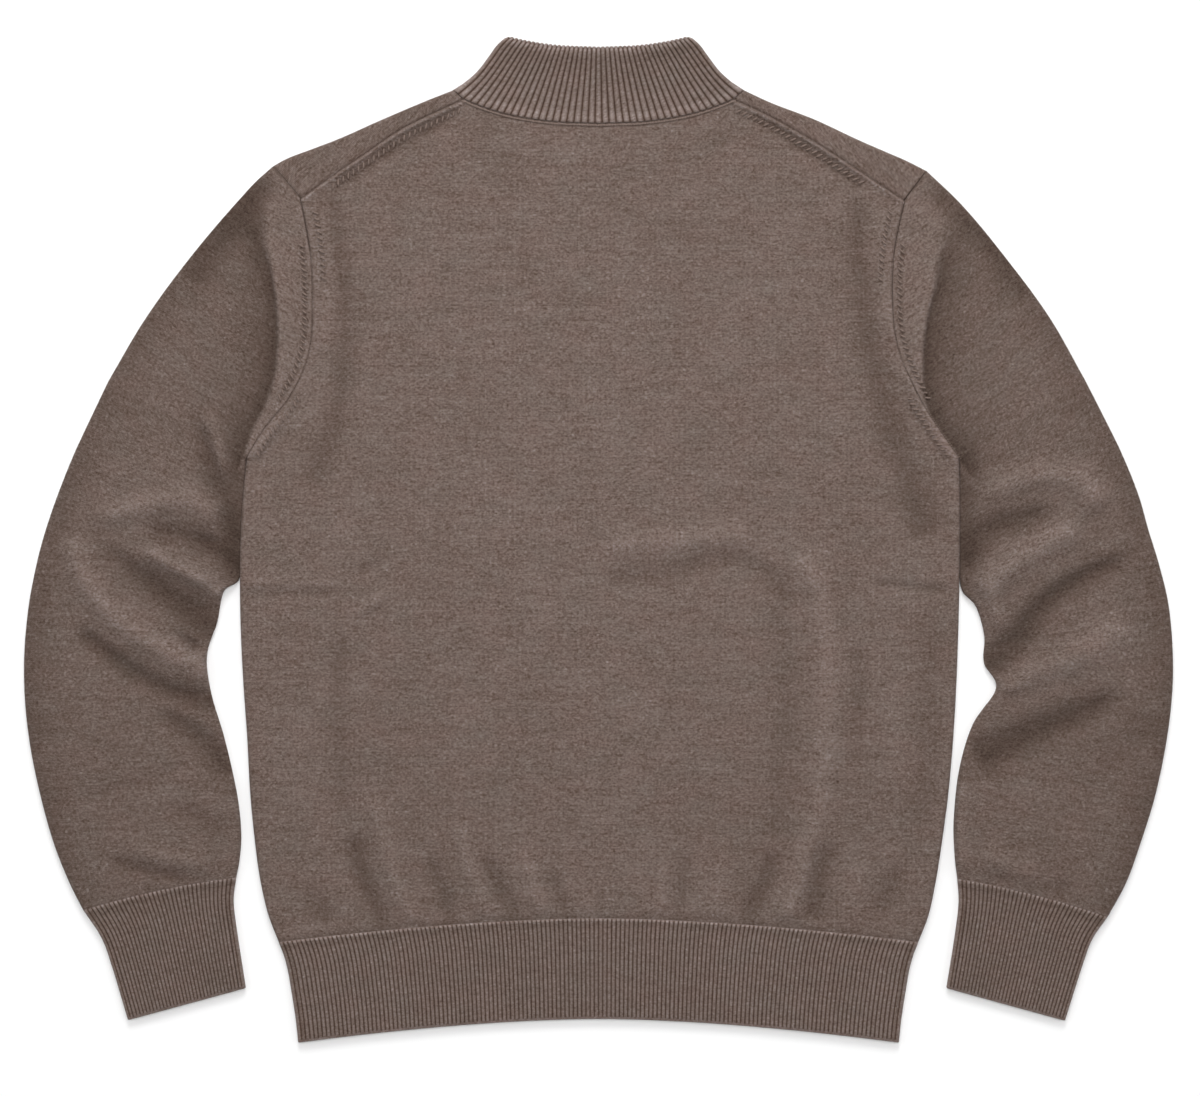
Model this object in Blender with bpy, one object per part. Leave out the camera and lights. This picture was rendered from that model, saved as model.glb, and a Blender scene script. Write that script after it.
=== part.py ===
"""Mock neck sweater, laid flat with its back up.

The garment is built from the pieces that are knitted and linked together:
back, front, two sleeves, two cuffs, the two halves of the hem rib and the
collar.  Each is a wall of cloth between an outer and an inner surface, and
neighbours stand about 0.3 mm apart at their seams.  The front lies
underneath, flat on the surface, and wraps over the shoulder folds up to the
shoulder seams.  Where a sleeve lies against the body, its edge is pressed
down beside the body's side fold.

Frame: +X across the shoulders, +Y towards the neck, +Z up from the surface.
The origin is the middle of the garment's outline, on the surface.  Sizes in
the tables are millimetres, and "out" is a distance from the centre line.
"""
import math
from collections import namedtuple

import bmesh
import bpy
import numpy as np

MM = 0.001

# ---- driving sizes, mm ------------------------------------------------------
CLOTH = 1.8             # fine jersey wall
RIB_CLOTH = 1.8         # hem and cuff wall under the ribs
COLLAR_CLOTH = 2.5      # the collar is knitted double
RIB_RELIEF = 0.9        # height of a rib over the wall
SEAM_PULL = 0.18        # each piece stands back this far from its seam line

BODY_TOP = 6.4          # upper surface of the back over the surface below
BODY_CROWN = 1.0        # extra height along the centre line
BODY_CROWN_REACH = 230.0        # and how far out it goes
BODY_LOWEST = 5.0       # no trough of the body goes below this
BODY_MID = 3.2          # height of the side seams
FOLD_RADIUS = 3.2       # rounding of the garment's folded edges
FOLD_STEPS = (0.0, 0.125, 0.42, 1.0)    # columns over that rounding

HEM_RISE = 17.5         # the hem seam is higher at the centre by this much
HEM_EDGE_RISE = 17.5    # and so is the lower edge of the hem rib
HEM_BOW = 1.7           # power of the hem's sweep from centre to side
HEM_RIBS = 144
HEM_TOP = 5.6           # valleys between the ribs, over the surface

NECK_POINT = (107.0, 329.5)     # where the neck seam crosses the shoulder fold
NECK_CORNER = (99.0, 322.5)     # where the shoulder seam meets the neck seam
FRONT_NECK_DROP = 84.0          # front neckline, below the neck points
BOWL_POWER = 2.4                # roundness of the front's neck curves
COLLAR_RIBS = 43
COLLAR_TOP = 6.9                # valleys between the collar's ribs
COLLAR_MID = 3.45               # height of the collar's side edges
COLLAR_SIDE_POWER = 6           # how closely the side curve stays at the side
COLLAR_FRONT_TOP_DROP = 62.0    # front top edge, below the collar's corners

CUFF_RIBS = 35
CUFF_TOP = 5.6          # valleys between the ribs, over the surface
CUFF_SEAM_BOW = 2.5     # the cuff seam bows towards the elbow by this much
CUFF_BOW_ROWS = 6       # and the sleeve's last rows follow it
CUFF_SWELL_ROWS = 5     # over these the sleeve thins down to the cuff

SLEEVE_OUTER_RADIUS = 5.5       # rounding of the sleeve's outer edge
SLEEVE_HEAD_FULLNESS = 1.5      # how quickly it swells beside the armhole
SLEEVE_LOWEST = 4.6     # no trough of a sleeve goes below this
TUCK_HEIGHT = 4.3       # the sleeve's edge is pressed down beside the body
TUCK_RISE = 18.0        # the sleeve gains its full height over this distance
TUCK_RADIUS = 2.3

JERSEY_COLOUR = (0.162, 0.117, 0.100)
RIB_COLOUR = (0.15, 0.11, 0.094)
ROUGHNESS = 0.9

# ---- mesh steps -------------------------------------------------------------
SIDE_ROWS = 14
ARMHOLE_FIRST = 15.0    # the armhole's first corner past the shoulder fold
ARMHOLE_STEPS = 9
SHOULDER_STEPS = 8
STRIP_SHARES = (0.5, 1.0)       # rows from the shoulder fold to its seam
NECK_STEPS = 12
SLEEVE_RINGS = 36
SLEEVE_COLUMNS = 9
SEWN_STEPS = (0.0, 0.0, 0.5, 1.0)       # columns where the armhole seam is
HEM_ROWS = (0.0, 0.35, 1.0)
HEM_FRONT_STEPS = 12
COLLAR_ROWS = (0.0, 0.25, 0.5, 0.75, 1.0)
CURVE_SAMPLES = 24
FOLD_SAMPLES = 9
FOLD_FADE = 0.22        # a fold dies away over this share at each end
FLAT_ANGLE = math.radians(0.15)
SHARP_ANGLE = math.radians(40)
SIGNS = {"left": -1, "right": 1}
TOUCH = 0.5             # places this close count as level with each other

# ---- outlines, mm -----------------------------------------------------------
SideRow = namedtuple("SideRow", "y left_out right_out")
SIDE_EDGE = [
    SideRow(-294.5, 234.5, 234.5),
    SideRow(-278, 241, 241),
    SideRow(-249, 248, 247.5),
    SideRow(-220, 252, 252),
    SideRow(-190, 255, 256),
    SideRow(-146, 257.5, 260),
    SideRow(-103, 260.5, 262.5),
    SideRow(-59, 262.5, 264),
    SideRow(0, 262.5, 265),
    SideRow(29, 261, 265),
    SideRow(59, 258, 264.5),
]

ArmRow = namedtuple("ArmRow", "left_out left_y right_out right_y")
ARMHOLE = [             # from the shoulder point to the underarm
    ArmRow(238.5, 274, 240.5, 270.5),
    ArmRow(218, 250, 224, 248.5),
    ArmRow(211.3, 213, 216.5, 212),
    ArmRow(209.5, 173, 215, 177),
    ArmRow(211.5, 140, 217, 150),
    ArmRow(217.5, 121, 222.5, 131),
    ArmRow(228, 102, 234, 105),
    ArmRow(245, 81, 252.5, 76),
    ArmRow(258, 59, 264.5, 59),
]

ShoulderRow = namedtuple("ShoulderRow", "left_out left_y right_out right_y")
SHOULDER_FOLD = [       # the front wraps over this outline
    ShoulderRow(238.5, 274, 240.5, 270.5),
    ShoulderRow(230, 278.8, 226, 277.8),
    ShoulderRow(212, 285.8, 209, 285.2),
    ShoulderRow(194, 292.6, 192, 292.6),
    ShoulderRow(159, 308, 159, 308),
    ShoulderRow(126, 322, 123, 322),
    ShoulderRow(107, 329.5, 107, 329.5),
]
SHOULDER_SEAM = [       # on the upper side, from the armhole to the neck
    ShoulderRow(218, 250, 224, 248.5),
    ShoulderRow(194, 267.3, 190, 271),
    ShoulderRow(169, 284.3, 168, 285.5),
    ShoulderRow(145, 300.5, 147, 298.3),
    ShoulderRow(122, 312, 124, 311),
    ShoulderRow(99, 322.5, 99, 322.5),
]

CollarRow = namedtuple("CollarRow", "out y")
COLLAR_SIDE = [
    CollarRow(107, 329.5),
    CollarRow(96, 337),
    CollarRow(88, 344.5),
    CollarRow(81.5, 353),
    CollarRow(73, 364.2),
    CollarRow(68, 368.5),
]
NECK_SEAM = [           # from the neck corner to the centre of the back
    CollarRow(99, 322.5),
    CollarRow(88, 318),
    CollarRow(73, 313),
    CollarRow(36, 306.3),
    CollarRow(0, 304.7),
]
COLLAR_EDGE = [         # upper edge, from the corner to the centre
    CollarRow(68, 368.5),
    CollarRow(63, 367.2),
    CollarRow(34, 362),
    CollarRow(0, 360.2),
]

SleeveRow = namedtuple("SleeveRow", "outer_out outer_y inner_out inner_y crown tuck")
SLEEVE_SECTIONS = {     # from the underarm to the cuff seam
    "left": [
        SleeveRow(359, 117, 258.6, 59, 10, 0.6),
        SleeveRow(370.5, 93, 260.8, 39, 11, 1),
        SleeveRow(384.5, 63, 262.4, 15, 11, 1),
        SleeveRow(396.5, 33, 263.1, -9, 11, 1),
        SleeveRow(406, 5, 264.5, -29, 11, 0.8),
        SleeveRow(412.5, -20, 275, -38, 11, 0.2),
        SleeveRow(418, -50, 279.5, -60, 11, 0),
        SleeveRow(421, -84, 287, -84, 11, 0),
        SleeveRow(420.5, -118, 284, -112, 10.5, 0),
        SleeveRow(416.5, -152, 274, -146, 10, 0),
        SleeveRow(409, -188, 265, -186, 9.5, 0),
        SleeveRow(399.5, -222, 262, -214, 9.5, 0),
        SleeveRow(388.5, -250, 263, -233, 9, 0),
        SleeveRow(378, -271, 265.5, -247, 6.6, 0),
    ],
    "right": [
        SleeveRow(356.6, 117.5, 265.3, 59, 10, 0.6),
        SleeveRow(368.8, 93.5, 265.7, 39, 11, 1),
        SleeveRow(383.6, 63.5, 265.8, 13, 11, 1),
        SleeveRow(395.8, 33.3, 265.8, -13, 11, 1),
        SleeveRow(403, 8, 267, -36, 11, 0.8),
        SleeveRow(411, -18, 277, -49, 11, 0.2),
        SleeveRow(418, -48, 282.8, -70, 11, 0),
        SleeveRow(421, -82, 282.6, -90, 11, 0),
        SleeveRow(420.5, -114, 291.5, -108.5, 10.5, 0),
        SleeveRow(416, -150, 274.5, -135, 10, 0),
        SleeveRow(408, -188, 264.5, -168, 9.5, 0),
        SleeveRow(397.5, -222, 260.5, -204, 9.5, 0),
        SleeveRow(387, -251, 261, -230, 9, 0),
        SleeveRow(373.5, -276, 263, -248, 6.6, 0),
    ],
}
SLEEVE_HEAD = {         # outer edge from the shoulder point to the underarm section
    "left": [(238.5, 274), (250.5, 263.4), (263.8, 249), (301, 205), (333, 161), (359, 117)],
    "right": [(240.5, 270.5), (262.8, 249.3), (299.6, 205.5), (331.5, 161.8), (356.6, 117.5)],
}

HemRow = namedtuple("HemRow", "out y")
HEM_SIDE = [            # side edge of the hem rib
    HemRow(234.6, -294.6),
    HemRow(231.8, -301.5),
    HemRow(228.6, -312),
    HemRow(225.3, -330),
    HemRow(222, -351.5),
    HemRow(220.2, -368.5),
]

CuffRow = namedtuple("CuffRow", "outer_out outer_y inner_out inner_y")
CUFF_SECTIONS = {       # from the sleeve to the open end
    "left": [
        CuffRow(378, -271, 265.5, -247),
        CuffRow(364.3, -292, 267.5, -265),
        CuffRow(356, -315, 264.5, -290),
        CuffRow(345, -352, 258.5, -328.5),
    ],
    "right": [
        CuffRow(373.5, -276, 263, -248),
        CuffRow(362, -293, 264, -266),
        CuffRow(354.5, -313, 261, -291),
        CuffRow(342, -352.5, 255, -328.5),
    ],
}

# ---- folds, mm: a bent line, its height and its half width -------------------
Fold = namedtuple("Fold", "x0 y0 xm ym x1 y1 rise reach")
BODY_FOLDS = [
    Fold(-193, 262, -194, 205, -182, 150, -1.2, 14),        # beside the armholes
    Fold(184, 258, 196, 205, 222, 68, -1.2, 14),
    Fold(-259, -31, -205, -30, -156, -21, -0.8, 7),         # pressed side creases
    Fold(265, -31, 215, -29, 172, -26, -0.8, 7),
    Fold(-21, -4, 55, -3, 125, -5, 1.0, 13),                # low wave at the back
    Fold(-21, -28, 60, -26, 130, -40, -0.9, 11),
    Fold(140, 7, 176, -60, 148, -266, 1.6, 15),             # long soft ridges
    Fold(-156, -36, -200, -130, -146, -280, 1.4, 15),
    Fold(-165, -212, -155, -250, -145, -284, 1.2, 9),       # gathers over the hem
    Fold(-108, -176, -96, -235, -83, -276, 1.6, 10),
    Fold(-64, -212, -50, -245, -36, -280, 1.4, 9),
    Fold(-6, -232, -5, -255, -4, -280, 1.2, 9),
    Fold(50, -226, 50, -250, 50, -280, 1.3, 9),
    Fold(78, -176, 80, -230, 82, -280, 1.5, 10),
    Fold(150, -234, 160, -255, 162, -272, 1.2, 9),
    Fold(-165, -240, -164, -262, -163, -280, -1.3, 9),
    Fold(-210, -250, -206, -268, -203, -284, 1.0, 9),
    Fold(203, -246, 200, -266, 197, -284, 1.0, 9),
]
SLEEVE_FOLDS = {
    "left": [
        Fold(-247, 205, -243, 135, -259, 72, -3.0, 10),     # drop beside the armhole
        Fold(-369, 18, -330, 30, -274, 8, 2.2, 11),
        Fold(-330, 8, -300, 14, -264, -12, -2.4, 8),
        Fold(-330, 0, -300, -8, -276, -29, 2.0, 8),
        Fold(-369, 4, -330, -20, -284, -60, -3.6, 11),
        Fold(-390, 0, -355, -60, -290, -92, 2.6, 12),
        Fold(-384, -58, -335, -100, -290, -112, -3.2, 11),
        Fold(-368, -85, -330, -116, -290, -128, 1.6, 11),
        Fold(-314, -132, -290, -150, -276, -166, -2.6, 11),
        Fold(-288, 60, -272, 30, -264, 0, -2.4, 10),
    ],
    "right": [
        Fold(248, 205, 237, 135, 262, 72, -3.0, 10),
        Fold(287, 30, 330, 48, 364, 15, 2.2, 11),
        Fold(268, -4, 300, 22, 349, 26, -3.0, 10),
        Fold(276, -26, 330, -4, 353, 15, 2.2, 10),
        Fold(285, -86, 330, -60, 397, -8, -3.8, 12),
        Fold(294, -102, 340, -88, 386, -62, 2.6, 12),
        Fold(292, -150, 340, -138, 397, -102, -3.2, 12),
        Fold(290, -178, 330, -170, 372, -150, 1.4, 12),
    ],
}


# ---- lines ------------------------------------------------------------------
def smooth_line(points, samples=CURVE_SAMPLES):
    """A smooth curve through the points, as many short straight steps."""
    points = np.asarray(points, float)
    steps = np.linalg.norm(np.diff(points[:, :2], axis=0), axis=1)
    at = np.concatenate([[0.0], np.cumsum(np.maximum(steps, 1e-6))])
    slope = np.gradient(points, at, axis=0)
    pieces = []
    for i, span in enumerate(np.diff(at)):
        t = np.linspace(0, 1, samples, endpoint=False)[:, None]
        pieces.append(
            (1 + 2 * t) * (1 - t) ** 2 * points[i]
            + t * (1 - t) ** 2 * span * slope[i]
            + t ** 2 * (3 - 2 * t) * points[i + 1]
            + t ** 2 * (t - 1) * span * slope[i + 1]
        )
    pieces.append(points[-1:])
    return np.vstack(pieces)


def lengths(line):
    """Distance walked along a line, at each of its points."""
    steps = np.linalg.norm(np.diff(line[:, :2], axis=0), axis=1)
    return np.concatenate([[0.0], np.cumsum(steps)])


def walk(line, distances):
    """The points that lie at these distances along a line."""
    at = lengths(line)
    return np.stack([np.interp(distances, at, line[:, i]) for i in range(line.shape[1])], axis=-1)


def even(line, steps):
    """Evenly spaced points, from one end of a line to the other."""
    return walk(line, np.linspace(0, lengths(line)[-1], steps + 1))


def unit(runs):
    """The same directions, each of them one long."""
    return runs / np.maximum(np.linalg.norm(runs, axis=-1, keepdims=True), 1e-9)


def side_rows(rows, side):
    """The left or the right columns of a table, as points with real x."""
    if side == "left":
        return np.array([(-row.left_out, row.left_y) for row in rows])
    return np.array([(row.right_out, row.right_y) for row in rows])


def ease(t):
    """A soft start and a soft end, from 0 to 1."""
    t = np.clip(t, 0.0, 1.0)
    return t * t * (3 - 2 * t)


def quarter(t):
    """Quarter round: 0 at the edge, 1 from one radius inwards."""
    t = np.clip(t, 0.0, 1.0)
    return np.sqrt(1 - (1 - t) ** 2)


# ---- seams shared by neighbouring pieces ------------------------------------
def fold_steps(inset):
    """Distances in from a folded edge, for a surface that lies inset deeper."""
    return np.array(FOLD_STEPS) * (FOLD_RADIUS - inset)


def side_line(side, inset=0.0):
    """The body's side fold, from the hem to the underarm."""
    outs = [row.left_out if side == "left" else row.right_out for row in SIDE_EDGE]
    sign = SIGNS[side]
    line = [(sign * (out - inset), row.y) for out, row in zip(outs, SIDE_EDGE)]
    return smooth_line(line)


def wrapped_points(side, inset=0.0):
    """The armhole seam where the front wraps over: shoulder point to corner."""
    rows = side_rows(ARMHOLE[:2], side)
    fold = inset + fold_steps(inset)
    return walk(rows, np.concatenate([fold, [ARMHOLE_FIRST, lengths(rows)[-1]]]))


def armhole_points(side):
    """The rest of the armhole seam, from that corner to the underarm."""
    return even(smooth_line(side_rows(ARMHOLE[1:], side)), ARMHOLE_STEPS)


def shoulder_points(side):
    return even(smooth_line(side_rows(SHOULDER_SEAM, side)), SHOULDER_STEPS)


def shoulder_fold_points(side):
    return even(smooth_line(side_rows(SHOULDER_FOLD, side)), SHOULDER_STEPS)


def mirrored(rows):
    """A half line from side to centre, carried on to the other side."""
    half = smooth_line(rows)
    return np.vstack([half * (-1, 1), half[-2::-1]])


def neck_turn():
    """Places across the neck, from -1 to 1, closer together at the sides."""
    return -np.cos(np.linspace(0, math.pi, NECK_STEPS + 1))


def back_neck_points():
    line = mirrored(NECK_SEAM)
    x = neck_turn() * NECK_CORNER[0]
    return np.stack([x, np.interp(x, line[:, 0], line[:, 1])], axis=1)


def bowl(half_width, top_y, drop):
    """A deep curve that hangs between two points, without those points."""
    turn = neck_turn()[1:-1]
    sag = drop * (1 - np.abs(turn) ** BOWL_POWER)
    return np.stack([turn * half_width, top_y - sag], axis=1)


def neck_fold_points(sign, inset):
    """Places on the neck seam around the shoulder fold, from the fold inwards."""
    fold = np.array(NECK_POINT)
    corner = np.array(NECK_CORNER)
    run = (corner - fold) / np.linalg.norm(corner - fold)
    points = fold + np.outer(inset + fold_steps(inset), run)
    return points * (sign, 1)


def hem_y(side_y, rise, across):
    """Height of a hem line; across runs from -1 to 1."""
    return side_y + rise * (1 - np.abs(across) ** HEM_BOW)


def shift_line(line, distance):
    """Move a line sideways, to the left of the way it runs."""
    run = unit(np.gradient(line, axis=0))
    return line + distance * np.stack([-run[:, 1], run[:, 0]], axis=1)


def pull_back(edge, inside):
    """Move a seam edge towards the piece's own side of the seam."""
    moved = edge.copy()
    moved[..., :2] += unit(inside[..., :2] - edge[..., :2]) * SEAM_PULL
    return moved


# ---- heights ----------------------------------------------------------------
def fold_heights(x, y, folds):
    """The sum of the soft ridges and troughs at these places."""
    total = np.zeros_like(x)
    t = np.linspace(0, 1, FOLD_SAMPLES)
    for fold in folds:
        line_x = (1 - t) ** 2 * fold.x0 + 2 * t * (1 - t) * fold.xm + t ** 2 * fold.x1
        line_y = (1 - t) ** 2 * fold.y0 + 2 * t * (1 - t) * fold.ym + t ** 2 * fold.y1
        best = np.full(x.shape, np.inf)
        fade = np.zeros(x.shape)
        for i in range(len(t) - 1):
            dx, dy = line_x[i + 1] - line_x[i], line_y[i + 1] - line_y[i]
            along = ((x - line_x[i]) * dx + (y - line_y[i]) * dy) / (dx * dx + dy * dy)
            along = np.clip(along, 0, 1)
            away = np.hypot(x - line_x[i] - along * dx, y - line_y[i] - along * dy)
            place = t[i] + along * (t[i + 1] - t[i])
            from_end = np.minimum(place, 1 - place)
            nearer = away < best
            best = np.where(nearer, away, best)
            fade = np.where(nearer, ease(from_end / FOLD_FADE), fade)
        total += fold.rise * fade * np.exp(-((best / fold.reach) ** 2))
    return total


def side_distance(x, y):
    """How far a place on the body lies from the nearer side edge."""
    nearest = np.full(x.shape, np.inf)
    for side, sign in SIGNS.items():
        line = side_line(side)
        inward = sign * (np.interp(y, line[:, 1], line[:, 0]) - x)
        above = y > line[-1, 1] + TOUCH
        nearest = np.minimum(nearest, np.where(above, np.inf, np.maximum(inward, 0)))
    return nearest


def round_in(distance, inset):
    """The fold's rounding, on a surface that lies inset inside the outer one."""
    return quarter((distance - inset) / (FOLD_RADIUS - inset))


def body_level(x, y):
    """The upper surface of the body before its sides round off."""
    crown = BODY_CROWN * np.maximum(0, 1 - (x / BODY_CROWN_REACH) ** 2)
    level = BODY_TOP + crown + fold_heights(x, y, BODY_FOLDS)
    return np.maximum(level, BODY_LOWEST)


def back_height(x, y, inset):
    rise = body_level(x, y) - inset - BODY_MID
    return BODY_MID + rise * round_in(side_distance(x, y), inset)


def front_height(x, y, inset):
    drop = BODY_MID - inset
    return BODY_MID - drop * round_in(side_distance(x, y), inset)


# ---- walls ------------------------------------------------------------------
def build_wall(name, outer, inner, material, columns=None, ring=False, cells=None):
    """One closed wall of cloth between an outer and an inner grid.

    columns says which outer column each inner column stands under; the outer
    surface may have further columns between them.  cells marks the inner
    grid's cells that exist.
    """
    rows, width = outer.shape[:2]
    columns = list(range(width)) if columns is None else list(columns)
    spans = len(columns) if ring else len(columns) - 1
    if cells is None:
        cells = np.ones((rows - 1, spans), bool)
    mesh = bmesh.new()
    corners = {}
    rims = []

    def corner(points, surface, row, column):
        key = (surface, row, column % points.shape[1])
        if key not in corners:
            corners[key] = mesh.verts.new(points[key[1:]] * MM)
        return corners[key]

    def outer_at(row, column):
        return corner(outer, "outer", row, column)

    def inner_at(row, span):
        return corner(inner, "inner", row, span)

    def last_column(span):
        return columns[span + 1] if span + 1 < len(columns) else columns[0] + width

    def exists(row, span):
        if ring:
            span %= spans
        return 0 <= row < rows - 1 and 0 <= span < spans and cells[row, span]

    def close_row(row, span):
        """The narrow faces between the surfaces, along one cell's end."""
        first, last = columns[span], last_column(span)
        half = (first + last) // 2
        for column in range(first, last):
            near = inner_at(row, span if column < half else span + 1)
            rims.append(mesh.faces.new([outer_at(row, column), outer_at(row, column + 1), near]))
        far = outer_at(row, half)
        rims.append(mesh.faces.new([inner_at(row, span), inner_at(row, span + 1), far]))

    def close_side(row, column, span):
        rims.append(mesh.faces.new([
            outer_at(row, column), outer_at(row + 1, column),
            inner_at(row + 1, span), inner_at(row, span),
        ]))

    for row in range(rows - 1):
        for span in range(spans):
            if not cells[row, span]:
                continue
            for column in range(columns[span], last_column(span)):
                mesh.faces.new([
                    outer_at(row, column), outer_at(row, column + 1),
                    outer_at(row + 1, column + 1), outer_at(row + 1, column),
                ])
            mesh.faces.new([
                inner_at(row, span), inner_at(row + 1, span),
                inner_at(row + 1, span + 1), inner_at(row, span + 1),
            ])
            for end, beyond in ((row, row - 1), (row + 1, row + 1)):
                if not exists(beyond, span):
                    close_row(end, span)
            if not exists(row, span - 1):
                close_side(row, columns[span], span)
            if not exists(row, span + 1):
                close_side(row, last_column(span), span + 1)
    return finish_piece(name, mesh, set(rims), material)


def finish_piece(name, mesh, rims, material):
    """Merge what is flat, apart from the rims, and make the object."""
    bmesh.ops.recalc_face_normals(mesh, faces=mesh.faces[:])
    flat = {
        edge for edge in mesh.edges
        if edge.calc_face_angle() < FLAT_ANGLE and not rims.intersection(edge.link_faces)
    }
    inside = [vert for vert in mesh.verts if flat.issuperset(vert.link_edges)]
    bmesh.ops.dissolve_limit(mesh, angle_limit=FLAT_ANGLE, verts=inside, edges=list(flat))
    bmesh.ops.triangulate(mesh, faces=mesh.faces[:])
    data = bpy.data.meshes.new(name)
    mesh.to_mesh(data)
    mesh.free()
    data.shade_smooth()
    data.set_sharp_from_angle(angle=SHARP_ANGLE)
    piece = bpy.data.objects.new(name, data)
    bpy.context.scene.collection.objects.link(piece)
    data.materials.append(material)
    return piece


def solid_points(plan, heights):
    """Places in plan, with a height for each."""
    return np.concatenate([plan, heights[..., None]], axis=-1)


# ---- body -------------------------------------------------------------------
def body_edge(side, inset, wrapped):
    """The side edge of a body panel, from the hem up the armhole.

    The front goes on, past the shoulder seam's end, to the shoulder fold.
    """
    parts = [even(side_line(side, inset), SIDE_ROWS), armhole_points(side)[-2::-1]]
    if wrapped:
        parts.append(wrapped_points(side, inset)[-2:len(FOLD_STEPS) - 2:-1])
    return np.vstack(parts)


def body_rows(edges, corner_out, shoulder_steps, top_line, inset):
    """A plan grid over a body panel, from the hem's curve to its top line."""
    left, right = edges
    start, span = left[-1, 0], right[-1, 0] - left[-1, 0]
    margin = FOLD_RADIUS / span
    first = (-corner_out - start) / span
    last = (corner_out - start) / span
    places = np.concatenate([
        np.linspace(margin, first, shoulder_steps + 1)[:-1],
        first + (neck_turn() + 1) / 2 * (last - first),
        np.linspace(last, 1 - margin, shoulder_steps + 1)[1:],
    ])
    grid = []
    for row, (west, east) in enumerate(zip(left, right)):
        fold = fold_steps(inset if row <= SIDE_ROWS else 0.0)[:-1]
        v = row / (len(left) - 1)
        width = east[0] - west[0]
        x = west[0] + np.concatenate([fold, places * width, width - fold[::-1]])
        across = (x - west[0]) / width
        straight = west[1] + across * (east[1] - west[1])
        hem = HEM_RISE * (1 - np.abs(2 * across - 1) ** HEM_BOW)
        top_straight = left[-1, 1] + across * (right[-1, 1] - left[-1, 1])
        top = np.interp(start + across * span, top_line[:, 0], top_line[:, 1]) - top_straight
        grid.append(np.stack([x, straight + hem * (1 - v) ** 2 + top * v ** 3], axis=1))
    return np.array(grid)


def back_plan(inset):
    edges = [body_edge(side, inset, False) for side in SIGNS]
    top_line = np.vstack([
        shoulder_points("left")[:-1], back_neck_points(), shoulder_points("right")[-2::-1],
    ])
    plan = body_rows(edges, NECK_CORNER[0], SHOULDER_STEPS, top_line, inset)
    arm = slice(SIDE_ROWS + 1, None)
    plan[arm, 0] = pull_back(plan[arm, 0], plan[arm, 1])
    plan[arm, -1] = pull_back(plan[arm, -1], plan[arm, -2])
    plan[-1] = shift_line(plan[-1], -SEAM_PULL)
    plan[0] = pull_back(plan[0], plan[1])
    return plan


def make_back(material):
    """The back panel, between the side folds, armholes and shoulder seams."""
    surfaces = []
    for inset in (0.0, CLOTH):
        plan = back_plan(inset)
        heights = back_height(plan[..., 0], plan[..., 1], inset)
        heights[:SIDE_ROWS + 1, (0, -1)] += SEAM_PULL
        surfaces.append(solid_points(plan, heights))
    return build_wall("back", *surfaces, material)


def wrap_row(side, across, away, share, sign, inset):
    """One row of the strip over a shoulder, as its plan and its heights.

    across runs from the armhole to the neck.  The row lies away from the
    shoulder fold, and share of the rest of the way to the shoulder seam.
    sign is -1 below the fold and 1 above it.
    """
    fold = shoulder_fold_points(side)
    fold = walk(fold, across * lengths(fold)[-1])
    seam = shoulder_points(side)
    seam = walk(seam, across * lengths(seam)[-1])
    gap = np.linalg.norm(seam - fold, axis=1)
    away = away + share * (gap - FOLD_RADIUS)
    plan = fold + unit(seam - fold) * away[:, None]
    reach = inset - BODY_MID
    if sign > 0:
        reach = body_level(plan[:, 0], plan[:, 1]) - inset - BODY_MID
    return plan, BODY_MID + reach * round_in(away, inset)


def front_surface(inset):
    """The front: its underside, then the strips that wrap over the shoulders."""
    edges = [body_edge(side, inset, True) for side in SIGNS]
    start = {}
    for side in SIGNS:
        fold = shoulder_fold_points(side)
        start[side] = fold + unit(shoulder_points(side) - fold) * FOLD_RADIUS
    neckline = bowl(NECK_POINT[0], NECK_POINT[1], FRONT_NECK_DROP)
    top_line = np.vstack([start["left"], neckline, start["right"][::-1]])
    corner_out = start["right"][-1, 0]
    plan = body_rows(edges, corner_out, SHOULDER_STEPS, top_line, inset)
    heights = front_height(plan[..., 0], plan[..., 1], inset)
    last = len(plan) - 1
    width = plan.shape[1]
    shoulder = len(FOLD_STEPS) - 1 + SHOULDER_STEPS
    plan[last, shoulder + 1:width - shoulder - 1] = neckline

    steps = inset + fold_steps(inset)
    wraps = [(step, 0.0, -1) for step in steps[-2::-1]]
    wraps += [(step, 0.0, 1) for step in steps[1:]]
    wraps += [(FOLD_RADIUS, share, 1) for share in STRIP_SHARES]
    strips = {"left": slice(0, shoulder + 1), "right": slice(width - shoulder - 1, width)}
    for away, share, sign in wraps:
        row, row_heights = plan[last].copy(), heights[last].copy()
        for (side, strip), edge in zip(strips.items(), edges):
            across = np.abs(plan[last, strip, 0] - edge[-1, 0])
            across = across / np.max(across)
            row[strip], row_heights[strip] = wrap_row(side, across, away, share, sign, inset)
        plan = np.vstack([plan, row[None]])
        heights = np.vstack([heights, row_heights[None]])

    plan[0] = pull_back(plan[0], plan[1])
    arm = slice(SIDE_ROWS + 1, None)
    plan[arm, 0] = pull_back(plan[arm, 0], plan[arm, 1])
    plan[arm, -1] = pull_back(plan[arm, -1], plan[arm, -2])
    neck = slice(shoulder, width - shoulder)
    plan[last, neck] = shift_line(plan[last, neck], -SEAM_PULL)
    wrapped = slice(last + 1, None)
    for column, inside in ((shoulder, shoulder - 1), (width - shoulder - 1, width - shoulder)):
        plan[wrapped, column] = pull_back(plan[wrapped, column], plan[wrapped, inside])
    plan[-1] = pull_back(plan[-1], plan[-2])
    heights[:SIDE_ROWS + 1, (0, -1)] -= SEAM_PULL
    cells = np.ones((len(plan) - 1, width - 1), bool)
    cells[last:, shoulder:width - shoulder - 1] = False
    return solid_points(plan, heights), cells


def make_front(material):
    outer, cells = front_surface(0.0)
    inner, _ = front_surface(CLOTH)
    return build_wall("front", outer, inner, material, cells=cells)


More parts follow.
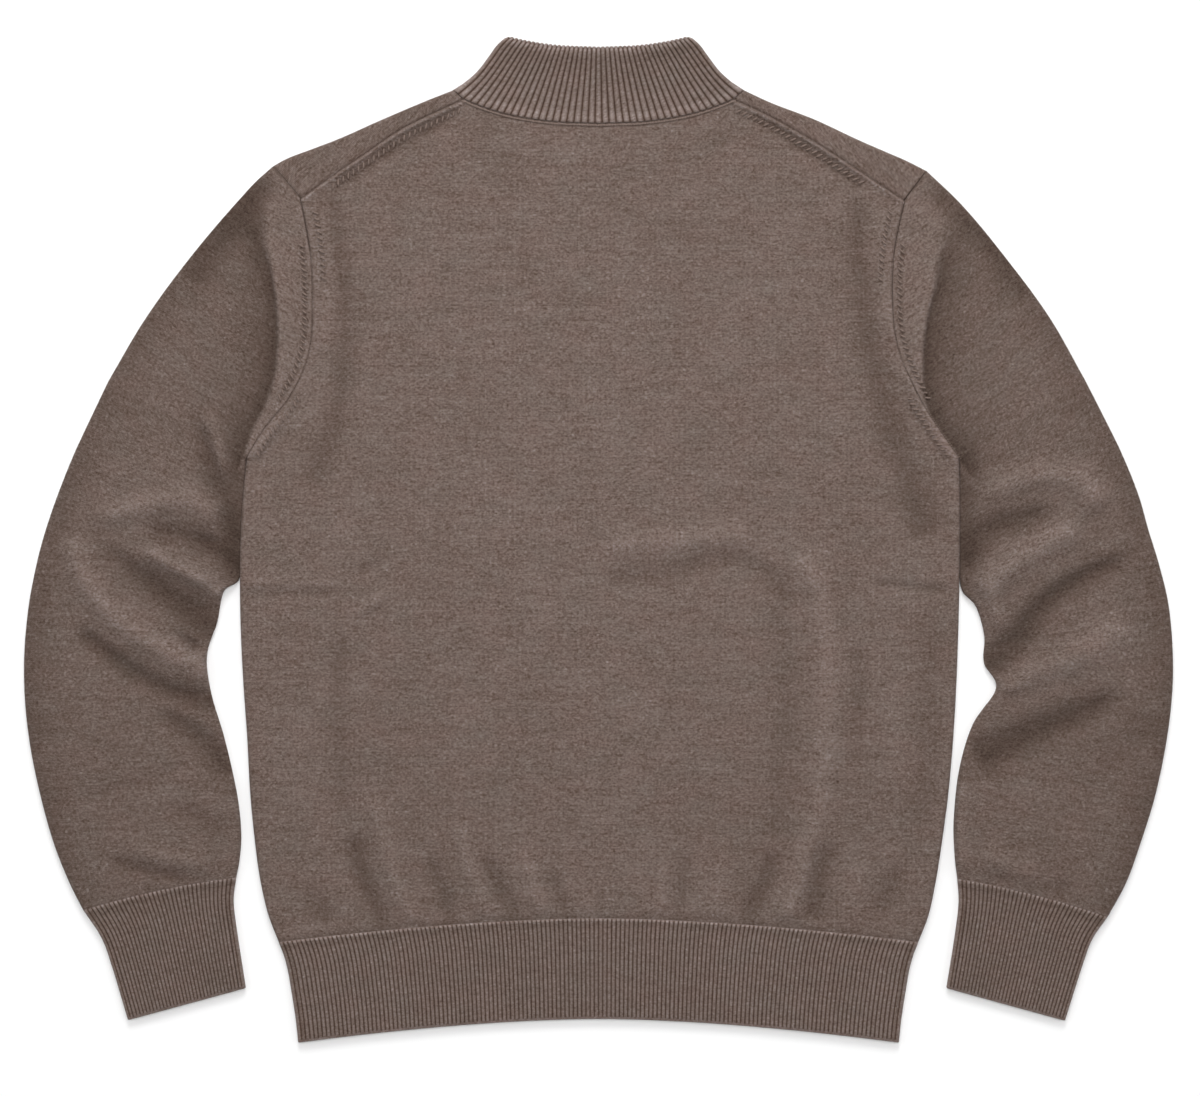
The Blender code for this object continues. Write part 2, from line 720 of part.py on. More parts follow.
# ---- sleeves -----------------------------------------------------------------
def smooth_rows(rows, steps):
    """Rows read evenly from a smooth curve through a table's rows."""
    rows = np.array(rows, float)
    slope = np.gradient(rows, axis=0)
    places = np.linspace(0, len(rows) - 1, steps + 1)
    first = np.minimum(places.astype(int), len(rows) - 2)
    t = (places - first)[:, None]
    return (
        (1 + 2 * t) * (1 - t) ** 2 * rows[first]
        + t * (1 - t) ** 2 * slope[first]
        + t ** 2 * (3 - 2 * t) * rows[first + 1]
        + t ** 2 * (t - 1) * slope[first + 1]
    )


def sleeve_sections(side):
    """Outer end, inner end, crown height and tuck of each section."""
    flip = (SIGNS[side], 1)
    tube = smooth_rows(SLEEVE_SECTIONS[side], SLEEVE_RINGS)
    head = even(smooth_line(SLEEVE_HEAD[side]), ARMHOLE_STEPS) * flip
    sections = []
    for number in range(ARMHOLE_STEPS):
        v = number / ARMHOLE_STEPS
        crown = BODY_TOP + (SLEEVE_SECTIONS[side][0].crown - BODY_TOP) * ease(v)
        sections.append((head[number], armhole_points(side)[number], crown, 0.0))
    for row in tube:
        sections.append((row[:2] * flip, row[2:4] * flip, row[4], np.clip(row[5], 0, 1)))
    return sections


def cuff_seam_bow(share, run):
    """The cuff seam bows a little towards the elbow."""
    length = np.hypot(*run)
    away = CUFF_SEAM_BOW * 4 * share * (1 - share)
    normal = np.array([-run[1], run[0]]) / length
    if normal[1] < 0:
        normal = -normal
    return away[:, None] * normal


def sleeve_surface(side, inset):
    """Columns run from the inner edge over the top to the outer edge, and back.

    The first column is the folded inner edge, which starts at the underarm.
    """
    sections = sleeve_sections(side)
    steps = np.array(FOLD_STEPS)
    rows = []
    for number, (outer, inner, crown, tuck) in enumerate(sections):
        sewn = number < ARMHOLE_STEPS
        length = np.linalg.norm(outer - inner)
        swell = min(number / ARMHOLE_STEPS, 1, (len(sections) - 1 - number) / CUFF_SWELL_ROWS)
        outer_radius = FOLD_RADIUS + (SLEEVE_OUTER_RADIUS - FOLD_RADIUS) * swell
        inner_radius = FOLD_RADIUS + (TUCK_RADIUS - FOLD_RADIUS) * tuck
        first = inset + steps * (inner_radius - inset)
        if sewn:
            first = np.array(SEWN_STEPS) * FOLD_RADIUS
        last = length - inset - steps[::-1] * (outer_radius - inset)
        middle = np.linspace(inner_radius, length - outer_radius, SLEEVE_COLUMNS + 1)[1:-1]
        along = np.concatenate([first, middle, last])
        share = along / length
        plan = inner + np.outer(share, outer - inner)
        near_cuff = max(0.0, 1 - (len(sections) - 1 - number) / CUFF_BOW_ROWS)
        plan = plan + near_cuff * cuff_seam_bow(share, outer - inner)
        hold = tuck * (1 - ease((along - inner_radius) / TUCK_RISE))
        mid = BODY_MID * (1 - hold) + TUCK_HEIGHT / 2 * hold
        folds = fold_heights(plan[:, 0], plan[:, 1], SLEEVE_FOLDS[side])
        level = BODY_TOP + (crown - BODY_TOP) * (1 - (2 * share - 1) ** 4)
        if sewn:
            swelling = (1 - (1 - share) ** 2) * (1 - share ** 4)
            level = BODY_TOP + (crown - BODY_TOP) * swelling * SLEEVE_HEAD_FULLNESS
        level = np.maximum(level + folds, SLEEVE_LOWEST)
        level = level * (1 - hold) + TUCK_HEIGHT * hold
        rounding = quarter((length - along - inset) / (outer_radius - inset))
        if not sewn:
            inner_round = quarter((along - inset) / (inner_radius - inset))
            rounding = np.minimum(rounding, inner_round)
        upper = mid + (level - inset - mid) * rounding
        lower = mid - (mid - inset) * rounding
        top = solid_points(plan, upper)
        bottom = solid_points(plan, lower)
        if sewn:
            pull = (outer - inner) / length * SEAM_PULL
            for half in (top, bottom):
                half[:2, :2] += pull
        rows.append(np.vstack([top, bottom[-2:0:-1]]))
    rows = np.array(rows)
    rows[0] = pull_back(rows[0], rows[1])
    rows[-1] = pull_back(rows[-1], rows[-2])
    return rows


def make_sleeve(side, material):
    outer, inner = (sleeve_surface(side, inset) for inset in (0.0, CLOTH))
    cells = np.ones((len(outer) - 1, outer.shape[1]), bool)
    cells[:ARMHOLE_STEPS, (0, -1)] = False
    return build_wall("sleeve_" + side, outer, inner, material, ring=True, cells=cells)


# ---- ribs --------------------------------------------------------------------
def rib_wave(columns):
    """Valley, ridge, valley, ridge along a row of rib columns."""
    return RIB_RELIEF * (np.arange(columns) % 2)


def rib_columns(count, step=4):
    """Which rib columns the plain inner surface keeps, about one in step."""
    middle = list(range(step // 2, count - step // 2, step))
    return [0] + middle + [count - step // 2, count]


def make_cuff(side, material):
    """A cuff lies flat: ribs raised on top, plain where it rests."""
    rows = np.array(CUFF_SECTIONS[side], float)
    rows[:, (0, 2)] *= SIGNS[side]
    count = 2 * CUFF_RIBS
    keep = rib_columns(count)
    fold = np.array(FOLD_STEPS)
    outer_rows, inner_rows = [], []
    for number, row in enumerate(rows):
        start, end = row[:2], row[2:]
        length = np.linalg.norm(end - start)
        bow = 1 - number / (len(rows) - 1)

        def points(along, heights):
            share = along / length
            plan = start + np.outer(share, end - start)
            plan = plan + bow * cuff_seam_bow(share, end - start)
            return solid_points(plan, heights)

        def rounding(along, inset):
            return round_in(np.minimum(along, length - along), inset)

        ribs = np.linspace(0, length, count + 1)
        top = CUFF_TOP + rib_wave(count + 1)
        upper = points(ribs, BODY_MID + (top - BODY_MID) * rounding(ribs, 0))
        under = np.concatenate([fold * FOLD_RADIUS, length - fold[::-1] * FOLD_RADIUS])
        lower = points(under, BODY_MID * (1 - rounding(under, 0)))
        outer_rows.append(np.vstack([upper, lower[-2:0:-1]]))
        kept = np.clip(ribs[keep], RIB_CLOTH, length - RIB_CLOTH)
        lift = (CUFF_TOP - RIB_CLOTH - BODY_MID) * rounding(kept, RIB_CLOTH)
        upper = points(kept, BODY_MID + lift)
        step_in = RIB_CLOTH + fold * (FOLD_RADIUS - RIB_CLOTH)
        under = np.concatenate([step_in, length - step_in[::-1]])
        lift = (BODY_MID - RIB_CLOTH) * rounding(under, RIB_CLOTH)
        lower = points(under, BODY_MID - lift)
        inner_rows.append(np.vstack([upper, lower[-2:0:-1]]))
    outer, inner = np.array(outer_rows), np.array(inner_rows)
    for surface in (outer, inner):
        surface[0] = pull_back(surface[0], surface[1])
    under_columns = range(count + 1, outer.shape[1])
    return build_wall("cuff_" + side, outer, inner, material,
                      columns=keep + list(under_columns), ring=True)


# ---- hem ---------------------------------------------------------------------
def hem_plan(across, inset):
    """Plan rows of the hem rib; across runs from -1 to 1."""
    plan = []
    line = smooth_line([(row.out, row.y) for row in HEM_SIDE])
    for place in HEM_ROWS:
        out, y = walk(line, place * lengths(line)[-1])
        rise = HEM_RISE + place * (HEM_EDGE_RISE - HEM_RISE)
        plan.append(np.stack([across * (out - inset), hem_y(y, rise, across)], axis=1))
    plan = np.array(plan)
    plan[0] = pull_back(plan[0], plan[-1])
    return plan


def hem_surface(across, inset, level, sign):
    """The rib's upper half where sign is 1, its underside where it is -1."""
    plan = hem_plan(across, inset)
    out = np.abs(plan[:, -1:, 0]) + inset
    rounding = round_in(out - np.abs(plan[..., 0]), inset)
    heights = BODY_MID + (level - BODY_MID) * rounding
    heights[:, (0, -1)] += sign * SEAM_PULL
    return solid_points(plan, heights)


def make_hem_back(material):
    """The hem rib's upper half, from side seam to side seam."""
    count = 2 * HEM_RIBS
    across = np.linspace(-1, 1, count + 1)
    keep = rib_columns(count)
    outer = hem_surface(across, 0.0, HEM_TOP + rib_wave(count + 1), 1)
    inner = hem_surface(across[keep], RIB_CLOTH, HEM_TOP - RIB_CLOTH, 1)
    return build_wall("hem_rib_back", outer, inner, material, columns=keep)


def make_hem_front(material):
    """The hem rib's lower half, plain where it rests."""
    surfaces = []
    for inset in (0.0, RIB_CLOTH):
        half = HEM_SIDE[0].out - inset
        fold = fold_steps(inset) / half
        middle = np.linspace(-1 + fold[-1], 1 - fold[-1], HEM_FRONT_STEPS + 1)[1:-1]
        across = np.concatenate([-1 + fold, middle, 1 - fold[::-1]])
        surfaces.append(hem_surface(across, inset, inset, -1))
    return build_wall("hem_rib_front", *surfaces, material)


# ---- collar ------------------------------------------------------------------
def collar_outline(inset, front):
    """The neck seam and the collar's upper edge, from left to right."""
    folds = [neck_fold_points(SIGNS[side], inset) for side in SIGNS]
    if front:
        base_middle = bowl(NECK_POINT[0], NECK_POINT[1], FRONT_NECK_DROP)
        corner = COLLAR_EDGE[0]
        top = bowl(corner.out, corner.y, COLLAR_FRONT_TOP_DROP)
        top = np.vstack([(-corner.out, corner.y), top, (corner.out, corner.y)])
    else:
        base_middle = back_neck_points()
        top = mirrored(COLLAR_EDGE)
    base = np.vstack([folds[0], base_middle, folds[1][::-1]])
    return base, top[np.abs(top[:, 0]) <= COLLAR_EDGE[0].out - inset]


def collar_plan(base_row, top_row, turn):
    """Plan rows from the neck seam to the upper edge; turn runs from -1 to 1."""
    side = smooth_line(COLLAR_SIDE)
    pull = np.abs(turn) ** COLLAR_SIDE_POWER
    plan = []
    for place in COLLAR_ROWS:
        out, y = walk(side, place * lengths(side)[-1])
        chord_out, chord_y = side[0] + place * (side[-1] - side[0])
        row = base_row + place * (top_row - base_row)
        row[:, 0] += np.sign(turn) * pull * (out - chord_out)
        row[:, 1] += pull * (y - chord_y)
        plan.append(row)
    plan = np.array(plan)
    plan[0] = shift_line(plan[0], SEAM_PULL)
    return plan


def collar_heights(plan, level, inset):
    """Heights over a flattened ring that rounds off at its two side edges."""
    rows = []
    for row in plan:
        at = lengths(row)
        rounding = quarter(np.minimum(at, at[-1] - at) / (COLLAR_MID - inset))
        rows.append(COLLAR_MID + (level - COLLAR_MID) * rounding)
    return np.array(rows)


def make_collar(material):
    """The collar's back lies over its front; ribs are raised on the back."""
    ribs = 2 * COLLAR_RIBS
    keep = rib_columns(ribs)
    surfaces = []
    for inset in (0.0, COLLAR_CLOTH):
        base, top = collar_outline(inset, front=False)
        share = np.linspace(0, 1, ribs + 1)
        level = COLLAR_TOP + rib_wave(ribs + 1)
        if inset:
            share = share[keep]
            level = COLLAR_TOP - inset
        upper = collar_plan(walk(base, share * lengths(base)[-1]),
                            walk(top, share * lengths(top)[-1]), 2 * share - 1)
        upper = solid_points(upper, collar_heights(upper, level, inset))
        base, top = collar_outline(inset, front=True)
        share = lengths(base) / lengths(base)[-1]
        lower = collar_plan(base, walk(top, share * lengths(top)[-1]), 2 * share - 1)
        lower = solid_points(lower, collar_heights(lower, inset, inset))
        surfaces.append(np.concatenate([upper, lower[:, -2:0:-1]], axis=1))
    outer, inner = surfaces
    under = list(range(ribs + 1, outer.shape[1]))
    return build_wall("collar", outer, inner, material, columns=keep + under, ring=True)


def knit_material(name, colour):
    material = bpy.data.materials.new(name)
    material.use_nodes = True
    shader = material.node_tree.nodes["Principled BSDF"]
    shader.inputs["Base Color"].default_value = (*colour, 1)
    shader.inputs["Roughness"].default_value = ROUGHNESS
    shader.inputs["Metallic"].default_value = 0
    material.diffuse_color = (*colour, 1)
    return material


def main():
    for old in list(bpy.data.objects):
        bpy.data.objects.remove(old)
    jersey = knit_material("jersey", JERSEY_COLOUR)
    rib = knit_material("rib", RIB_COLOUR)
    make_back(jersey)
    make_front(jersey)
    for side in SIGNS:
        make_sleeve(side, jersey)
        make_cuff(side, rib)
    make_hem_back(rib)
    make_hem_front(rib)
    make_collar(rib)


main()
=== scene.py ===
"""Looks of the fine-knit mock neck sweater that lies flat with its back up.

Each CAD node is replaced by the same piece of cloth in a finer form, worked
out from the same sizes: softer folds, ribs with round ridges, sunken seams,
linking stitches and fashioning marks.  Tables are in millimetres and "out"
is a distance from the centre line.  Every cloth carries a UV map in metres
that follows its courses and wales, and the knit is drawn on it.
"""
import math
from collections import namedtuple

import bpy
import numpy as np
from mathutils.bvhtree import BVHTree
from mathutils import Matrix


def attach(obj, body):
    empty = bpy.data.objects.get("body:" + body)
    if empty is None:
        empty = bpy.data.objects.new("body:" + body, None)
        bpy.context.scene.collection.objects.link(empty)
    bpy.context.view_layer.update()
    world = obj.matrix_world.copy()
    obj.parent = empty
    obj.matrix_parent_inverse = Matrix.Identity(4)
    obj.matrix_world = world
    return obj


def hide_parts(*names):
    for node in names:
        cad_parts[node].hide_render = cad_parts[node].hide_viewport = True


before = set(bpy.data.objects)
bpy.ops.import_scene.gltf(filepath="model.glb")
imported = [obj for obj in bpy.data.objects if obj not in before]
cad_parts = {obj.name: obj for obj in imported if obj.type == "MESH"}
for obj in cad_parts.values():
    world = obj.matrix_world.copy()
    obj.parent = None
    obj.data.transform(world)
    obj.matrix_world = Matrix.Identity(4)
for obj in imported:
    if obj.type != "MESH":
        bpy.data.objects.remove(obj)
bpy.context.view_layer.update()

MM = 0.001


def table(kind, rows):
    """Rows of plain numbers, with names for their columns."""
    return [kind(*row) for row in rows]


# ---- driving sizes, mm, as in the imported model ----
BODY_TOP = 6.4          # upper surface of the back over the surface below
BODY_CROWN = 1.0        # extra height along the centre line
BODY_CROWN_REACH = 230.0
BODY_MID = 3.2          # height of the side folds
BODY_LOWEST = 4.6       # no trough of the body goes below this
FOLD_RADIUS = 3.2       # rounding of the garment's folded edges
SEAM_LAP = 0.1          # each piece runs this far over its seam line

HEM_RISE = 17.5         # the hem seam is higher at the centre by this much
HEM_BOW = 1.7           # power of the hem's sweep from centre to side
HEM_HOLDS = 11.0        # the hem seam holds folds down over this distance
HEM_RIBS = 144
HEM_TOP = 5.6           # valleys between the ribs, over the surface

NECK_POINT = (107.0, 329.5)     # where the neck seam crosses the shoulder fold
NECK_CORNER = (99.0, 322.5)     # where the shoulder seam meets the neck seam
FRONT_NECK_DROP = 84.0          # front neckline, below the neck points
BOWL_POWER = 2.4
COLLAR_RIBS = 43
COLLAR_TOP = 6.9
COLLAR_MID = 3.45
COLLAR_SIDE_POWER = 6
COLLAR_FRONT_TOP_DROP = 62.0

CUFF_RIBS = 35
CUFF_TOP = 5.6
CUFF_SEAM_BOW = 2.5     # the cuff seam bows towards the elbow by this much
CUFF_BOW_SHARE = 0.17   # and this last share of the sleeve follows it
CUFF_SWELL_SHARE = 0.14 # over this share the sleeve thins down to the cuff

SLEEVE_OUTER_RADIUS = 8.0
SLEEVE_CROWN_POWER = 2.6        # lower is rounder across the sleeve
SLEEVE_HEAD_FULLNESS = 1.5
SLEEVE_LOWEST = 3.8     # no trough of a sleeve goes below this
SLEEVE_PAINTED_SHADE = 0.865     # painted shade: the sleeves are painted a little darker than the body
ShadeRow = namedtuple("ShadeRow", "y middle side")
BODY_PAINTED_SHADE = table(ShadeRow, [  # painted shade: the body's sides and its lower part are painted darker
    (-290, 0.970, 0.925), (-200, 0.945, 0.910), (-100, 0.985, 0.945), (0, 0.985, 0.955),
    (100, 1.000, 0.965), (200, 0.970, 0.960), (300, 0.950, 0.940),
])
BODY_SHADE_OUT = 170.0   # mm from the middle at which the side's painted shade is reached
STRIP_PAINTED_SHADE = 0.89       # painted shade: so are the front's strips over the shoulders
SLEEVE_EDGE_PAINTED_SHADE = 2.2        # painted shade, darker still along the sleeves' outer edge
SLEEVE_EDGE_REACH = 17.0
TUCK_HEIGHT = 3.9       # the sleeve's edge is pressed down beside the body
TUCK_RISE = 18.0
TUCK_RADIUS = 2.1
TUCK_UNDER = 1.1        # and slips under the body's rounded edge

RIB_HEIGHT = 0.9
COLLAR_RIB_HEIGHT = 1.3
RIB_ROUNDNESS = 2.8     # power of a rib's profile: higher is flatter on top
COLLAR_ROUNDNESS = 2.5
ROLL_RADIUS = 0.9       # the soft edge of hem and cuffs
COLLAR_ROLL_RADIUS = 1.25
ROLL_TUCK = 9.0         # the cloth goes on inside the edge by this much

# ---- mesh steps ----
PANEL_STEP = 3.0
EDGE_STEPS = (0.0, 0.4, 0.9, 1.6, 2.6)  # closer rows along a seam
ROUND_STEPS = 6
ROLL_TURNS = np.linspace(0, math.pi, 2 * ROUND_STEPS + 1)[1:]   # round a rolled edge
SLEEVE_RINGS = 170
HEAD_STEPS = 80
SHOULDER_STEPS = 60
SLEEVE_TOP_COLUMNS = 72
SLEEVE_UNDER_COLUMNS = 24
RIB_STEPS = 8           # columns over one rib
RIB_ROW_STEP = 2.2
RIB_END_STEPS = (0.0, 0.3, 0.7, 1.2, 1.7, 2.2, 2.8, 3.6)    # rows where ribs begin and end
CUFF_UNDER = np.linspace(0.1, 0.9, 21)  # columns of the plain undersides
HEM_UNDER = np.linspace(-0.97, 0.97, 60)
COLLAR_UNDER_COLUMNS = 120
CUFF_SAMPLES = 120
CURVE_SAMPLES = 24
FOLD_SAMPLES = 5
SEAM_SHARES = np.linspace(0, 1, 41)
HEM_SHARES = np.linspace(-1, 1, 81)
STRIP_SHARES = [*np.linspace(0, 1, 11)[1:-1], 0.97, 1.0]    # rows over a shoulder
ROLL_TUCK_SHARES = (0.3, 1.0)
SIGNS = {"left": -1, "right": 1}
TOUCH = 0.5

# ---- outlines, mm ----
PairRow = namedtuple("PairRow", "left_out left_y right_out right_y")
SIDE_EDGE = [PairRow(left, y, right, y) for y, left, right in (
    (-294.5, 234.5, 234.5), (-278, 241, 241), (-249, 248, 247.5), (-220, 252, 252), (-190, 255, 256),
    (-146, 257.5, 260), (-103, 260.5, 262.5), (-59, 262.5, 264), (0, 262.5, 265), (29, 261, 265),
    (59, 258, 264.5),
)]
ARMHOLE = table(PairRow, [  # from the shoulder point to the underarm
    (238.5, 274, 240.5, 270.5), (218, 250, 224, 248.5), (211.3, 213, 216.5, 212),
    (209.5, 173, 215, 177), (211.5, 140, 217, 150), (217.5, 121, 222.5, 131), (228, 102, 234, 105),
    (245, 81, 252.5, 76), (258, 59, 264.5, 59),
])
SHOULDER_FOLD = table(PairRow, [  # the front wraps over this outline
    (238.5, 274, 240.5, 270.5), (230, 278.8, 226, 277.8), (212, 285.8, 209, 285.2),
    (194, 292.6, 192, 292.6), (159, 308, 159, 308), (126, 322, 123, 322), (107, 329.5, 107, 329.5),
])
SHOULDER_SEAM = table(PairRow, [  # on the upper side, from the armhole to the neck
    (218, 250, 224, 248.5), (194, 267.3, 190, 271), (169, 284.3, 168, 285.5),
    (145, 300.5, 147, 298.3), (122, 312, 124, 311), (99, 322.5, 99, 322.5),
])
SLEEVE_DROP = table(PairRow, [  # the edge over which the sleeve falls beside the armhole
    (243, 262, 262, 240), (247, 238, 256, 220), (246, 216, 251.6, 205), (240.6, 198, 247.9, 187),
    (236.2, 168.5, 242.8, 168.5), (235.5, 146.5, 239.1, 146.5), (238.4, 117, 238.4, 124.5),
    (244.3, 99, 239.9, 102.5), (253.8, 80.6, 244.3, 88), (261, 60, 265.5, 57),
])

HalfRow = namedtuple("HalfRow", "out y")
COLLAR_SIDE = table(HalfRow, [
    (107, 329.5), (96, 337), (88, 344.5), (81.5, 353), (73, 364.2), (68, 368.5),
])
NECK_SEAM = table(HalfRow, [  # from the neck corner to the centre of the back
    (99, 322.5), (88, 318), (73, 313), (36, 306.3), (0, 304.7),
])
COLLAR_EDGE = table(HalfRow, [  # upper edge, from the corner to the centre
    (68, 368.5), (63, 367.2), (34, 362), (0, 360.2),
])
HEM_SIDE = table(HalfRow, [
    (234.6, -294.6), (231.8, -301.5), (228.6, -312), (225.3, -330), (222, -351.5), (220.2, -368.5),
])

SleeveRow = namedtuple("SleeveRow", "outer_out outer_y inner_out inner_y crown tuck")
SLEEVE_SECTIONS = {     # from the underarm to the cuff seam
    "left": table(SleeveRow, [
        (359, 117, 258.6, 59, 10, 0.6), (370.5, 93, 260.8, 39, 11, 1), (384.5, 63, 262.4, 15, 11, 1),
        (396.5, 33, 263.1, -9, 11, 1), (406, 5, 264.5, -29, 11, 0.8), (412.5, -20, 275, -38, 11, 0.2),
        (418, -50, 279.5, -60, 11, 0), (421, -84, 287, -84, 11, 0), (420.5, -118, 284, -112, 10.5, 0),
        (416.5, -152, 274, -146, 10, 0), (409, -188, 265, -186, 9.5, 0), (399.5, -222, 262, -214, 9.5, 0),
        (388.5, -250, 263, -233, 9, 0), (378, -271, 265.5, -247, 6.6, 0),
    ]),
    "right": table(SleeveRow, [
        (356.6, 117.5, 265.3, 59, 10, 0.6), (368.8, 93.5, 265.7, 39, 11, 1),
        (383.6, 63.5, 265.8, 13, 11, 1), (395.8, 33.3, 265.8, -13, 11, 1), (403, 8, 267, -36, 11, 0.8),
        (411, -18, 277, -49, 11, 0.2), (418, -48, 282.8, -70, 11, 0), (421, -82, 282.6, -90, 11, 0),
        (420.5, -114, 291.5, -108.5, 10.5, 0), (416, -150, 274.5, -135, 10, 0),
        (408, -188, 264.5, -168, 9.5, 0), (397.5, -222, 260.5, -204, 9.5, 0),
        (387, -251, 261, -230, 9, 0), (373.5, -276, 263, -248, 6.6, 0),
    ]),
}
SLEEVE_HEAD = {         # outer edge from the shoulder point to the underarm section
    "left": [(238.5, 274), (250.5, 263.4), (263.8, 249), (301, 205), (333, 161), (359, 117)],
    "right": [(240.5, 270.5), (262.8, 249.3), (299.6, 205.5), (331.5, 161.8), (356.6, 117.5)],
}
CuffRow = namedtuple("CuffRow", "outer_out outer_y inner_out inner_y")
CUFF_SECTIONS = {       # from the sleeve to the open end
    "left": table(CuffRow, [
        (378, -271, 265.5, -247), (364.3, -292, 267.5, -265), (356, -315, 264.5, -290),
        (345, -352, 258.5, -328.5),
    ]),
    "right": table(CuffRow, [
        (373.5, -276, 263, -248), (362, -293, 264, -266), (354.5, -313, 261, -291),
        (342, -352.5, 255, -328.5),
    ]),
}

# ---- folds, mm: height, half width and the line that they follow ----
# Two half widths mean that a fold grows from the one to the other along its line.
Fold = namedtuple("Fold", "rise reach line")
BODY_FOLDS = table(Fold, [
    # the cloth sinks beside the armholes and under the shoulder seams
    (-2.4, (6, 10), [(-198, 262), (-190, 220), (-186, 176), (-187, 125), (-198, 73), (-213, 37)]),
    (-3.4, (6, 14), [(189, 262), (190, 212), (194, 176), (200, 139),
                     (209, 103), (219, 66), (234, 29), (244, -4)]),
    (3.8, 5, [(224, 130), (235, 103), (250, 76), (262, 59), (269, 48)]),
    (3.4, 4.6, [(-263, 56), (-254, 64), (-242, 76), (-227, 97)]),
    (-3.2, (4.5, 4), [(-197, 255), (-182, 265), (-169, 274), (-145, 290), (-123, 302), (-100, 315)]),
    (-3.2, (4.5, 4), [(199, 256), (184, 265), (165, 278), (148, 289), (126, 303), (107, 313)]),
    (2.2, 5.9, [(-209, 245), (-203, 212), (-200, 176), (-204, 133)]),
    (3, 7, [(209, 245), (208, 212), (211, 176), (219, 139)]),
    # creases pressed in from the sides
    (-1.3, 2.9, [(-270, -40), (-219, -40), (-185, -39)]),
    (1.1, 3.7, [(-270, -32), (-219, -31), (-186, -31)]),
    (-2, 2.9, [(-185, -28), (-170, -21), (-154, -15)]),
    (2.8, 3.7, [(-186, -57), (-166, -47), (-150, -32)]),
    (-2.3, 2.9, [(196, -31), (224, -34), (266, -38)]),
    (-0.9, 3.7, [(211, -50), (237, -67)]),
    # the low wave across the back and the long ridges
    (-2.1, 8, [(0, -31), (45, -26), (104, -16), (134, -35), (140, -53)]),
    (3, 9, [(1, -4), (45, 0), (118, 3)]),
    (1.4, 8.8, [(-57, -19), (-49, -44), (-38, -75)]),
    (3.4, 8.5, [(145, -4), (161, -37), (168, -81), (168, -139),
                (164, -187), (153, -229), (140, -270), (134, -286)]),
    (1.8, 9, [(142, -11), (156, -26), (165, -38)]),
    (-1.2, 10.5, [(131, -44), (136, -110), (134, -176), (130, -227)]),
    (-1.4, 5.9, [(189, -70), (191, -117), (186, -172)]),
    (1.1, 7.3, [(216, -110), (220, -190)]),
    (-1.2, 10.3, [(244, -44), (243, -117), (240, -220)]),
    (-1.2, 6.6, [(-189, -66), (-192, -117), (-190, -168), (-183, -216)]),
    # gathers over the hem, from left to right
    (-1.8, 7.3, [(-220, -253), (-208, -265), (-191, -286)]),
    (-3.8, 6.6, [(-182, -212), (-172, -249), (-160, -276), (-154, -290)]),
    (3.2, 5.9, [(-166, -183), (-157, -216), (-149, -249), (-137, -275), (-131, -290)]),
    (-2.2, 6.6, [(-125, -227), (-116, -255), (-109, -274), (-103, -290)]),
    (2.6, 5.1, [(-104, -201), (-93, -245), (-82, -274), (-77, -290)]),
    (-2.5, 6.6, [(-87, -227), (-72, -255), (-62, -275), (-56, -290)]),
    (2.4, 5.1, [(-57, -223), (-47, -256), (-36, -286)]),
    (-2, 4.4, [(-36, -239), (-30, -256), (-18, -286)]),
    (1.9, 3.7, [(-8, -253), (-3, -286)]),
    (-1.8, 2.9, [(0, -249), (2, -286)]),
    (2.4, 3.7, [(48, -234), (44, -286)]),
    (-2.1, 4.4, [(66, -223), (62, -249), (57, -286)]),
    (1.9, 7.3, [(93, -216), (90, -245), (85, -286)]),
    (-2.8, 7.3, [(131, -223), (121, -255), (104, -286)]),
    (-3.2, 8.1, [(171, -218), (162, -245), (156, -286)]),
    (1.9, 5.9, [(192, -233), (183, -286)]),
    (-2, 7.3, [(224, -233), (202, -282)]),
    # shallow hollows under the collar's corners
    (-0.8, 13.2, [(-97, 302), (-72, 293)]),
    (-0.8, 13.2, [(74, 302), (107, 289)]),
])
